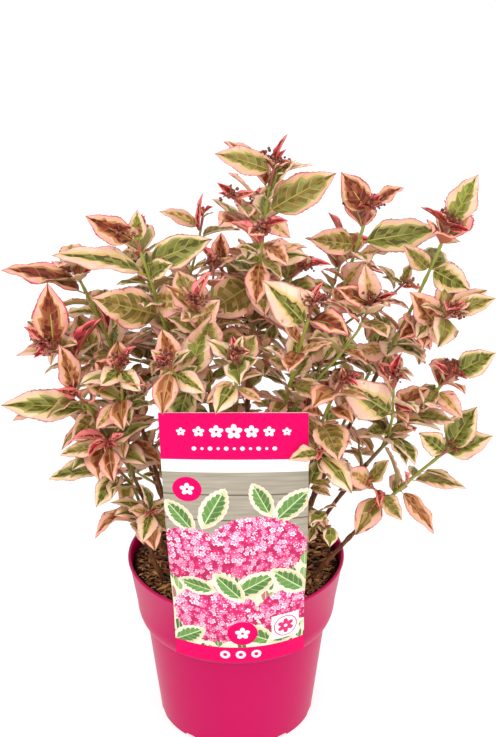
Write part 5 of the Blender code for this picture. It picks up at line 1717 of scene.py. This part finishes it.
# %% Leaf patterns
PETIOLE = 0.10                # of the leaf's length
PETIOLE_GIRTH = 0.012
MIDRIB_SHARE = 0.035          # of the half width
EDGE_SHARE = 0.93
QUILT = 0.014                 # how deep the side veins lie, of the length
BLADE_SWELL = 0.045
BLADE_THICK = 0.010
VEIN_EVERY = 3                # rows
VEIN_ROW = 0.22               # width of a vein's row, against the rows between
VEIN_FLAME = 0.07             # the middle runs out this much further along a vein
ROW_SPREAD = 0.12
HAZE = (0.07, 0.19)           # width of each step of the feathered border
MARGIN_START = 0.88
STRAY = 0.30                  # chance that a face takes its zone's second tone
STREAKS = ((0.46, 0.40, 0.14), (0.12, 0.38, 0.50))   # light, main and dark, in a vein's two rows
TOOTH = 0.055                 # how far a tooth stands out, of the half width
MARGIN_WAVE = 0.045           # how far the outline swings in and out, of the half width
MARGIN_RUFFLE = 0.016         # how far the margin rises and dips, of the length
WAVES = 2.6                   # swings along one side of a leaf
WAIST_POWERS = (0.80, 1.15)   # roundness of the base, and of the point
VEIN_LEANS = (1.40, 0.72)     # side veins start low on the midrib and end high on the edge
PALE_MIDRIB = 0.60            # the midrib is pale up to this share of the length
UNDER_SHARE = 0.55            # where the back is deepest, of the half width
KEEL = 1.6                    # depth of the back under the midrib, in blade thicknesses
MIDDLE_STEPS = (0.38, 0.72)   # borders between the tones of the middle, as shares of it
GREEN_LIMITS = (0.12, 0.76)   # how far out the middle goes at least, and at most
TOOTH_LEAN = 0.75             # a tooth points forward, to this share of its row
STALK_CORNERS = (0.8, 2.4, 3.9, 5.5)         # radians round the leaf's own stalk
STALK_ENDS = ((0.0, 0.0), (1.5 * PETIOLE, -0.008))
LAST_HAZE = 0.05              # the second step of the border keeps at least this width
SIDE_LEAN = 0.06              # how much one side of a leaf may be greener than the other
COLUMNS = 9                   # points from the midrib to the edge


def outline(share):
    """Half the blade's width along its length, 0.5 where it is widest."""
    low, high = WAIST_POWERS
    peak = low / (low + high)
    top = peak ** low * (1 - peak) ** high
    return 0.5 * max(share, 0.0) ** low * max(1 - share, 0.0) ** high / top


def row_shares(stations):
    """How far along the leaf each row starts: a vein's row is narrower than the rest."""
    widths = [VEIN_ROW if row % VEIN_EVERY == 0 else 1.0 for row in range(stations)]
    return [sum(widths[:row]) / sum(widths) for row in range(stations + 1)]


def blade_x(row, across):
    """Distance along a leaf of unit length, where a side vein has gone this far across."""
    inner, outer = row ** VEIN_LEANS[0], row ** VEIN_LEANS[1]
    share = across ** 1.2
    return PETIOLE + (1 - PETIOLE) * (inner * (1 - share) + outer * share)


def blade_level(station, across):
    """Height of a leaf's skin over its flat outline: swollen, and quilted by its veins."""
    hollow = station % VEIN_EVERY < 2
    quilt = QUILT * (1.0 if hollow else -1.0) * min(1.0, 3 * across * (1 - across))
    return BLADE_SWELL * math.sin(math.pi * across) * 0.8 - quilt


def shares_across(row_number, fade, mean, dice):
    """How far across the leaf each tone of a row reaches, as shares of the half width."""
    flame = VEIN_FLAME if row_number % VEIN_EVERY < 2 else 0.0
    green = mean + flame + dice.uniform(-ROW_SPREAD, ROW_SPREAD)
    green = min(max(green * fade, GREEN_LIMITS[0]), GREEN_LIMITS[1])
    mixed = min(green + dice.uniform(*HAZE), MARGIN_START - LAST_HAZE)
    pale = min(mixed + dice.uniform(*HAZE), MARGIN_START)
    return (MIDRIB_SHARE, *(step * green for step in MIDDLE_STEPS), green, mixed, pale,
            EDGE_SHARE, 1.0)


def stalk_faces(bm):
    """Corners of each face of a leaf's own stalk, its two ends last."""
    ends = [[bm.verts.new((x, PETIOLE_GIRTH * math.cos(angle), PETIOLE_GIRTH * math.sin(angle) + z))
             for angle in STALK_CORNERS] for x, z in STALK_ENDS]
    sides = [(ends[0][corner - 1], ends[0][corner], ends[1][corner], ends[1][corner - 1])
             for corner in (1, 2, 3, 0)]
    return sides + ends


def leaf_pattern(name, kind, stations):
    """One leaf, flat along +X with its length as the unit; faces carry their tone."""
    middle, vein_tone, feather, haze, margin, edge, back, reach = LEAF_KINDS[kind]
    dice = random.Random(name)
    bm = bmesh.new()
    tone = bm.faces.layers.int.new("tone")
    mean = dice.uniform(*reach)
    along = row_shares(stations)
    own = {zone: dice.choice(zone) for zone in (margin, edge)}

    def face(corners, choice):
        if not isinstance(choice, str):
            choice = dice.choice(choice) if dice.random() < STRAY else own[choice]
        bm.faces.new(corners)[tone] = TONE_NUMBER[choice]

    root = bm.verts.new((PETIOLE, 0.0, 0.0))
    point = bm.verts.new((1.0, 0.0, -0.004))
    ribs = [root] + [bm.verts.new((blade_x(row, 0.0), 0.0, 0.0)) for row in along[1:-1]] + [point]
    keels = [root] + [bm.verts.new((vert.co.x, 0.0, -KEEL * BLADE_THICK))
                      for vert in ribs[1:-1]] + [point]
    for side in (1, -1):
        lean = dice.uniform(-SIDE_LEAN, SIDE_LEAN)
        phase = dice.uniform(0.0, 2 * math.pi)
        rows = []
        for i, row in enumerate(along):
            if i in (0, stations):
                rows.append([ribs[i]] * COLUMNS)
                continue
            fade = min(1.0, 4 * (1 - row), 8 * row + 0.4)
            shares = shares_across(i, fade, mean + lean, dice)
            swing = phase + 2 * math.pi * WAVES * row
            half = side * outline(row ** VEIN_LEANS[1]) * (1 + MARGIN_WAVE * math.sin(swing))
            ruffle = MARGIN_RUFFLE * math.cos(swing) * fade
            rows.append([ribs[i]] + [bm.verts.new((
                blade_x(row, share), share * half,
                blade_level(i, share) * (share < 1.0) + ruffle * share ** 3))
                for share in shares])
        under = [row[0] if row[0] in (root, point) else bm.verts.new((
            blade_x(along[i], UNDER_SHARE), side * UNDER_SHARE * outline(along[i] ** VEIN_LEANS[1]),
            blade_level(0, UNDER_SHARE) - BLADE_THICK)) for i, row in enumerate(rows)]
        for i in range(stations):
            vein = i % VEIN_EVERY == 0
            rib = "midrib" if along[i] < PALE_MIDRIB else vein_tone
            inner = [vein_tone if vein else dice.choices(middle, STREAKS[i % VEIN_EVERY - 1])[0]
                     for _ in range(3)]
            zones = (rib, *inner, feather, haze, margin, edge)
            first, second = rows[i], rows[i + 1]
            tooth = None
            if 0 < i < stations - 1:
                ahead = first[-1].co.lerp(second[-1].co, TOOTH_LEAN)
                ahead.y *= 1 + TOOTH
                tooth = bm.verts.new(ahead)
            for column, choice in enumerate(zones):
                corners = [first[column], second[column], second[column + 1], first[column + 1]]
                if tooth and column == len(zones) - 1:
                    corners.insert(3, tooth)
                unique = list(dict.fromkeys(corners))
                if len(unique) > 2:
                    face(unique, choice)
            outer = [first[-1]] + ([tooth] if tooth else []) + [second[-1]]
            face(list(dict.fromkeys([keels[i], under[i], under[i + 1], keels[i + 1]])), back[0])
            face(list(dict.fromkeys([under[i]] + outer + [under[i + 1]])), back[1])
    for corners in stalk_faces(bm):
        face(corners, "petiole")
    bmesh.ops.recalc_face_normals(bm, faces=bm.faces)
    return mesh_of(bm, name)


PATTERNS = {                  # how many patterns of each kind, and their rows
    "green": (6, 18), "olive": (5, 18), "bright": (2, 18), "pale": (4, 15),
    "salmon": (5, 15), "brown": (5, 15), "taupe": (5, 18), "maroon": (4, 15),
    "red": (3, 12), "coral": (3, 12),
}
SMALL_ROWS = 6                # small leaves have plainer patterns, and fewer
SMALL_COUNT = 3
pattern_meshes, patterns_of = [], {}
for kind, (count, stations) in PATTERNS.items():
    for size, rows_along, shapes in (("full", stations, count), ("small", SMALL_ROWS, SMALL_COUNT)):
        first = len(pattern_meshes)
        pattern_meshes += [leaf_pattern(f"{kind}_{size}_{number}", kind, rows_along)
                           for number in range(shapes)]
        patterns_of[kind, size] = range(first, len(pattern_meshes))
leaf_patterns = keep_shapes("leaf_patterns", pattern_meshes)
print("patterns", len(pattern_meshes), "faces", [len(mesh.polygons) for mesh in pattern_meshes][::4])

# %% [markdown]
# Dealing out the leaves. Every leaf has a root, two directions, a length and a few bends, and
# these go as attributes on a cloud of points. One Geometry Nodes tree puts the chosen pattern
# on each point, makes it real, and then bends each leaf by the same arc as the solids: down
# along its midrib, folded up along it, and twisted a little towards the tip.

# %% Tree that bends the leaves


def vector(tree, operation, first, second=None, scale=None):
    """One step of arithmetic on vectors."""
    given = {0: first, 1: second, "Scale": scale}
    links = {key: value for key, value in given.items() if value is not None}
    return add_node(tree, "ShaderNodeVectorMath", links, operation=operation).outputs["Vector"]


def foliage_tree(name, finishes):
    """Put a leaf pattern on each point and bend it to its place."""
    tree, given = new_geometry_tree(name, Patterns="Collection", Waves="Float")
    place = add_node(tree, "GeometryNodeInputPosition").outputs["Position"]
    rooted = add_node(tree, "GeometryNodeStoreNamedAttribute", {
        "Geometry": given["Geometry"], "Name": "root", "Value": place}, data_type="FLOAT_VECTOR")
    real = dealt_out(tree, rooted.outputs["Geometry"], {
        **parts_of(tree, given["Patterns"]), "Instance Index": named(tree, "pattern", "INT")})
    root = named(tree, "root", "FLOAT_VECTOR")
    along, up = named(tree, "along", "FLOAT_VECTOR"), named(tree, "up", "FLOAT_VECTOR")
    run, arch = named(tree, "run"), named(tree, "arch")
    local = add_node(tree, "ShaderNodeSeparateXYZ", {"Vector": vector(tree, "SUBTRACT", place, root)})
    share, across, level = (Level(local.outputs[axis]) for axis in "XYZ")
    bend = arch * share
    radius = run / arch
    sine, cosine = bend.take("SINE"), bend.take("COSINE")
    ahead = vector(tree, "SCALE", along, scale=radius * sine)
    fall = radius * (cosine - 1.0)
    spine = vector(tree, "ADD", ahead, vector(tree, "SCALE", up, scale=fall))
    side = vector(tree, "CROSS_PRODUCT", along, up)
    rise = vector(tree, "ADD", vector(tree, "SCALE", up, scale=cosine),
                  vector(tree, "SCALE", along, scale=sine))
    fold, twist = named(tree, "fold"), named(tree, "twist") * share
    width = across * named(tree, "wide")
    spread = width * fold.take("COSINE")
    lifted = abs(width) * fold.take("SINE")
    swing = share * given["Waves"] + named(tree, "phase")
    wave = swing.take("SINE") * (named(tree, "wave") * (width * across))
    height = level + lifted + wave
    twist_sine, twist_cosine = twist.take("SINE"), twist.take("COSINE")
    turned_side = spread * twist_cosine - height * twist_sine
    turned_up = spread * twist_sine + height * twist_cosine
    section = vector(tree, "ADD",
                     vector(tree, "SCALE", side, scale=turned_side * run),
                     vector(tree, "SCALE", rise, scale=turned_up * run))
    grown = vector(tree, "ADD", root, vector(tree, "ADD", spine, section))
    bent = add_node(tree, "GeometryNodeSetPosition", {"Geometry": real, "Position": grown})
    finish_by_tone(tree, bent.outputs["Geometry"], finishes)
    return tree


def point_cloud(name, rows):
    """A mesh of loose points; each row is a dict with its place and its attributes."""
    mesh = bpy.data.meshes.new(name)
    mesh.from_pydata([row["base"] for row in rows], [], [])
    for key, value in rows[0].items():
        if key == "base":
            continue
        if isinstance(value, Vector):
            values = [part for row in rows for part in row[key]]
            mesh.attributes.new(key, "FLOAT_VECTOR", "POINT").data.foreach_set("vector", values)
        else:
            form = "INT" if isinstance(value, int) else "FLOAT"
            mesh.attributes.new(key, form, "POINT").data.foreach_set("value", [row[key] for row in rows])
    return mesh


foliage = foliage_tree("foliage", leaf_finishes)
print("tree nodes", len(foliage.nodes))

# %% [markdown]
# Which leaf goes where. The top pair of each shoot is still red or coral and folded like a
# book; the next pair is brown in the middle and pink at the edge; below that the leaves are
# full grown, green or olive with a pale margin. Small leaves in the axils are salmon or pale.
# Round each tip stand a few more small red leaves, and between the pairs stand middling ones.
# Short twiglets with a few small leaves come from the bare wood below: all this is the finer
# growth that the solids leave out, and it keeps to the space of its own mass.

# %% Deal out the leaves
KINDS_BY_NODE = (
    ("red", "maroon", "coral", "salmon"),
    ("brown", "maroon", "taupe", "olive", "coral"),
    ("green", "olive", "taupe", "brown", "salmon", "bright"),
    ("green", "olive", "brown", "pale", "salmon", "taupe"),
    ("olive", "pale", "brown", "salmon", "maroon"),
)
KINDS_IN_AXILS = ("salmon", "pale", "brown", "olive", "taupe", "green", "pale")
SMALL_KINDS = ("red", "red", "coral", "maroon", "salmon")
FOLDED = ("red", "coral")
FOLDS = ((0.05, 0.42), (0.45, 0.95))         # radians each half is lifted: flat leaves, folded ones
WHORL_PAIRS = 2
WHORL_RUN = (0.013, 0.024)
FILL_DROPS = (0.012, 0.034, 0.066, 0.100, 0.132)
FILL_RUN = (0.026, 0.044)
HIGH_TIP = 0.43                               # shoots this tall are open near the top
HIGH_BARE = 0.060
SPARSE = ("right_low", "right_low_in", "upper_right", "right_high", "right_in")
NO_TWIGLETS = ("right_low", "left_low", "front")
TWIGLET_DROPS = (0.010, 0.028, 0.048, 0.070)  # below a mass's foot
TWIGLET_FLOOR = 0.050                         # above the compost
TWIGLET_RUN = (0.022, 0.044)
TWIGLET_LEAVES = 3                            # pairs
TWIGLET_LEAF = (0.014, 0.028)
TWIGLET_STEP = 0.28                           # from pair to pair, as a share of its length
TWIGLET_TRIES = 2
HALF_TURN = 3.14                              # radians
TWIST = 0.5                                   # radians
WAVE_DEPTHS = (0.1, 0.5)
WIDENED = (1.08, 0.9)                         # flat leaves, and folded ones
SMALL_ARCH = (0.2, 0.9)
WHORL_RISE = (40, 80)                         # degrees
FILL_RISE = (0, 55)
TWIGLET_RISE = (15, 60)


def leaf_row(leaf, kind, size, dice):
    """A leaf's attributes, from its place and its kind."""
    folded = kind in FOLDED
    return {
        "base": leaf["base"], "along": leaf["along"], "up": leaf["up"],
        "pattern": dice.choice(patterns_of[kind, size]), "run": leaf["run"], "arch": leaf["arch"],
        "fold": dice.uniform(*FOLDS[folded]), "twist": dice.uniform(-TWIST, TWIST),
        "wide": leaf["width"] / leaf["run"] * WIDENED[folded],
        "wave": dice.uniform(*WAVE_DEPTHS), "phase": dice.uniform(0.0, FULL_TURN),
    }


def keeps_clear(leaf, space):
    """Whether a leaf stays in its mass's space and touches no limb."""
    if any(space.room(sample) < MARGIN for sample in leaf_samples(leaf_corners(leaf))):
        return False
    tree = leaf_tree(leaf)
    return not any(tree.overlap(solid) for solid in solids)


def runs_clear(path):
    """Whether a twig passes through no limb, card or pot after its first step."""
    steps = zip(path.points[1:], path.points[2:])
    return not any(solid.ray_cast(first, second - first, (second - first).length)[0]
                   for first, second in steps for solid in solids)


def small_leaf(path, distance, turn, rise, run, dice):
    """A small leaf at a distance along a stem."""
    base, stem = path.at(distance)
    return make_leaf(base, stem, turn, math.radians(rise), run, dice.uniform(*SMALL_ARCH))


def tip_leaves(path, size, dice):
    """The small leaves round a tip."""
    start = dice.uniform(0.0, HALF_TURN)
    for pair in range(WHORL_PAIRS):
        for spoke in range(2):
            turn = start + pair * 0.5 * math.pi + spoke * math.pi + dice.uniform(-0.3, 0.3)
            yield small_leaf(path, path.total - 0.003 * pair, turn, dice.uniform(*WHORL_RISE),
                             dice.uniform(*WHORL_RUN) * size, dice)


def fill_leaves(path, spokes, dice):
    """The middling leaves between the pairs, all the way down a stem."""
    bare = HIGH_BARE if path.points[-1].z > HIGH_TIP else 0.0
    for drop in FILL_DROPS:
        if drop > path.total - 0.006:
            break
        if drop < bare:
            continue
        turn = dice.uniform(0.0, FULL_TURN)
        for _ in range(spokes):
            turn += dice.uniform(1.6, 2.6)
            yield small_leaf(path, path.total - drop, turn, dice.uniform(*FILL_RISE),
                             dice.uniform(*FILL_RUN), dice)


def twiglet(path, below, dice):
    """A short side twig from the bare wood, up and outward, as a path."""
    base, stem = path.at(path.total - below)
    out = across_to(stem, dice.uniform(0.0, FULL_TURN))
    tip = base + (out + stem * dice.uniform(0.3, 1.2)).normalized() * dice.uniform(*TWIGLET_RUN)
    return Path(curve_between(base, (out + stem).normalized(), tip, (out + stem * 1.5).normalized(), 6))


def twiglet_leaves(twig, start, dice):
    """The pairs of small leaves of a twiglet, from its tip down."""
    for pair in range(TWIGLET_LEAVES):
        for spoke in range(2):
            yield small_leaf(twig, twig.total * (1 - TWIGLET_STEP * pair),
                             pair * 0.5 * math.pi + spoke * math.pi + start,
                             dice.uniform(*TWIGLET_RISE), dice.uniform(*TWIGLET_LEAF), dice)


dice = random.Random("kinds")
rows, small_rows, twiglets = [], [], []
for leaf in leaves:
    kinds = KINDS_IN_AXILS if leaf.get("axil") else KINDS_BY_NODE[leaf.get("node", 0)]
    kind = leaf.get("kind") or dice.choice(kinds)
    rows.append(leaf_row(leaf, kind, "full", dice))
for stem, path, size, shoot in stems:
    space = spaces[shoot]
    for leaf in tip_leaves(path, size, dice):
        small_rows.append(leaf_row(leaf, dice.choice(SMALL_KINDS), "small", dice))
    for leaf in fill_leaves(path, 1 if stem in SPARSE else 3, dice):
        if keeps_clear(leaf, space):
            small_rows.append(leaf_row(leaf, dice.choice(KINDS_IN_AXILS), "small", dice))
for name in (name for name in paths if name not in NO_TWIGLETS):
    path = paths[name]
    for below in TWIGLET_DROPS:
        drop = SHOOTS[name][4] + below
        if path.at(path.total - drop)[0].z < SOIL_TOP + TWIGLET_FLOOR:
            break
        for _ in range(TWIGLET_TRIES):
            twig = twiglet(path, drop, dice)
            if not runs_clear(twig):
                continue
            kept = [leaf for leaf in twiglet_leaves(twig, drop * 50, dice)
                    if keeps_clear(leaf, spaces[name])]
            if len(kept) > 2:
                twiglets.append(twig)
                small_rows += [leaf_row(leaf, dice.choice(KINDS_IN_AXILS), "small", dice) for leaf in kept]
print("full leaves", len(rows), "small leaves", len(small_rows), "twiglets", len(twiglets))

# %% Make the leaves
LEAF_WAVES = 11.0


def make_leaves(name, cloud):
    """Run the foliage tree on a cloud of leaf points."""
    piece = link_piece(name, point_cloud(name, cloud))
    run_tree(piece, foliage, Patterns=leaf_patterns, Waves=LEAF_WAVES)
    piece.data.shade_smooth()
    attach(piece, "root")
    triangles = sum(len(face.vertices) - 2 for face in piece.data.polygons)
    print(name, "leaves", len(cloud), "triangles", triangles)
    return piece


half = len(rows) // 2
upper = make_leaves("leaves_front", rows[:half])
lower = make_leaves("leaves_back", rows[half:])
small = make_leaves("young_leaves", small_rows)
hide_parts(*[name for name in nodes if name.startswith("foliage_")])

# %% [markdown]
# The green stems inside the foliage go on from the limbs. They are swept by the same tree as
# the limbs, but smooth, and each stretch has one plain tone: brown where the wood is old, then
# olive, a fresh yellow-green, and a reddish tip.

# %% Green stems
STEM_TONES = ("#5F3F2A", "#7E5B34", "#7E742C", "#84872B", "#8C9034", "#A0524A")
STEM_SIDES = 8
GREEN_STEP = 0.003
STEM_FOOT_GIRTH = 0.0017
STEM_TIP_GIRTH = 0.0011
STEM_NODE_REACH = 0.0028
STEM_NODE_SWELL = 0.35
RED_TIP = 0.012               # the reddish stretch at a stem's end
STEM_RELIEF = 0.0001
SKIN_FINENESS = 500.0


def stem_strand(path, size, start, old):
    """Points along a leafy stem; old is how brown it is at its foot, 0 to 1."""
    count = max(4, round((path.total - start) / GREEN_STEP))
    strand = []
    for index in range(count + 1):
        share = index / count
        distance = start + (path.total - start) * share
        point, _ = path.at(distance)
        girth = (STEM_FOOT_GIRTH + (STEM_TIP_GIRTH - STEM_FOOT_GIRTH) * share) * (0.5 + 0.5 * size)
        drop = path.total - distance
        near = min(abs(drop - node) for node in NODE_DROP)
        girth *= 1 + STEM_NODE_SWELL * math.exp(-(near / STEM_NODE_REACH) ** 2)
        last = len(STEM_TONES) - 1
        tone = min(int((1 - old) * 3 + share * last), last)
        if drop > RED_TIP:
            tone = min(tone, last - 1)
        strand.append((point, girth, tone))
    return strand


def skins(name, tones, roughness):
    """Living green wood or bud scales: a smooth, faintly waxy skin, one finish for each tone."""
    return [new_material(f"{name}_{number}", colour, roughness)[0]
            for number, colour in enumerate(tones)]


dice = random.Random("stems")
strands = []
for name, whole in paths.items():
    strands.append(stem_strand(whole, 1.0, whole.total - SHOOTS[name][4], dice.uniform(0.2, 1.0)))
for name, twig_path, size, _ in stems:
    if name not in paths:
        strands.append(stem_strand(twig_path, size, 0.0, dice.uniform(0.0, 0.6)))
for twig in twiglets:
    strands.append(stem_strand(twig, 0.5, 0.0, dice.uniform(0.5, 1.0)))
stem_skins = skins("stem_skin", STEM_TONES, 0.5)
green = sweep("green_stems", strands, stem_skins,
              Sides=STEM_SIDES, Relief=STEM_RELIEF, Fineness=SKIN_FINENESS)
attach(green, "root")
print("stem faces", len(green.data.polygons))

# %% [markdown]
# The bud heads. Above the top leaves of most shoots sits a flat, still closed flower head: a
# short stalk that forks a few times, and on it dozens of dark, round buds the size of a pin's
# head. The stalks are strands for the same sweep, and the buds are small spheres that Geometry
# Nodes put on a cloud of points.

# %% Bud heads
BUD_TONES = ("#71301F", "#823A26", "#5C2518", "#8E5232", "#9C743A", "#C89A4C")
BUD_SIZE = (0.0009, 0.0017)
HEAD_RAYS = 7
HEAD_RADIUS = 0.0095
BUDS_A_RAY = 8
BUD_SCATTER = 0.0019
YELLOW_BUDS, DARK_BUDS = (3, 4, 5), (0, 0, 1, 2, 3)      # numbers of their tones
RAY_GIRTHS = (0.0007, 0.0005, 0.0004)
RAY_SIDES = 5


def bud_head(path, size, yellow, dice):
    """The stalks and buds of one head, round a shoot's tip."""
    tip, stem = path.at(path.total)
    strands, buds = [], []
    for ray in range(HEAD_RAYS):
        turn = 2 * math.pi * ray / HEAD_RAYS + dice.uniform(-0.4, 0.4)
        out = across_to(stem, turn)
        reach = HEAD_RADIUS * size * dice.uniform(0.45, 1.1)
        end = tip + out * reach + stem * dice.uniform(0.003, 0.009) * size
        start = tip - stem * 0.002
        knee = start.lerp(end, 0.5) + stem * 0.0015
        strands.append([(place, girth, len(STEM_TONES) - 1)
                        for place, girth in zip((start, knee, end), RAY_GIRTHS)])
        for _ in range(BUDS_A_RAY):
            place = end + Vector([dice.gauss(0.0, BUD_SCATTER) for _ in range(3)])
            tones = YELLOW_BUDS if yellow else DARK_BUDS
            buds.append({"base": place, "size": dice.uniform(*BUD_SIZE), "tone": dice.choice(tones)})
    return strands, buds


def bead_tree(name, finishes):
    """Put a small sphere of its own size and tone on each point."""
    tree, given = new_geometry_tree(name, Roundness="Int")
    ball = add_node(tree, "GeometryNodeMeshIcoSphere", {"Radius": 1.0, "Subdivisions": given["Roundness"]})
    beads = dealt_out(tree, given["Geometry"], {
        "Instance": ball.outputs["Mesh"], "Scale": named(tree, "size")})
    finish_by_tone(tree, beads, finishes)
    return tree


BARE_TIPS = {"left_mid", "left_low", "right_low_in", "left_foot", "front_low", "upright",
             "left_mid_low", "back_left_low", "back_right_low", "back_mid"}
dice = random.Random("buds")
stalks, buds = [], []
for name, path, size, _ in stems:
    if name in BARE_TIPS:
        continue
    head_stalks, head_buds = bud_head(path, size, name == "yellow", dice)
    stalks += head_stalks
    buds += head_buds
heads = link_piece("flower_buds", point_cloud("flower_buds", buds))
run_tree(heads, bead_tree("buds", skins("bud_skin", BUD_TONES, 0.45)), Roundness=1)
heads.data.shade_smooth()
rays = sweep("bud_stalks", stalks, stem_skins, Sides=RAY_SIDES, Relief=0.0, Fineness=SKIN_FINENESS)
for piece in (heads, rays):
    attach(piece, "root")
print("buds", len(buds), "stalks", len(stalks))
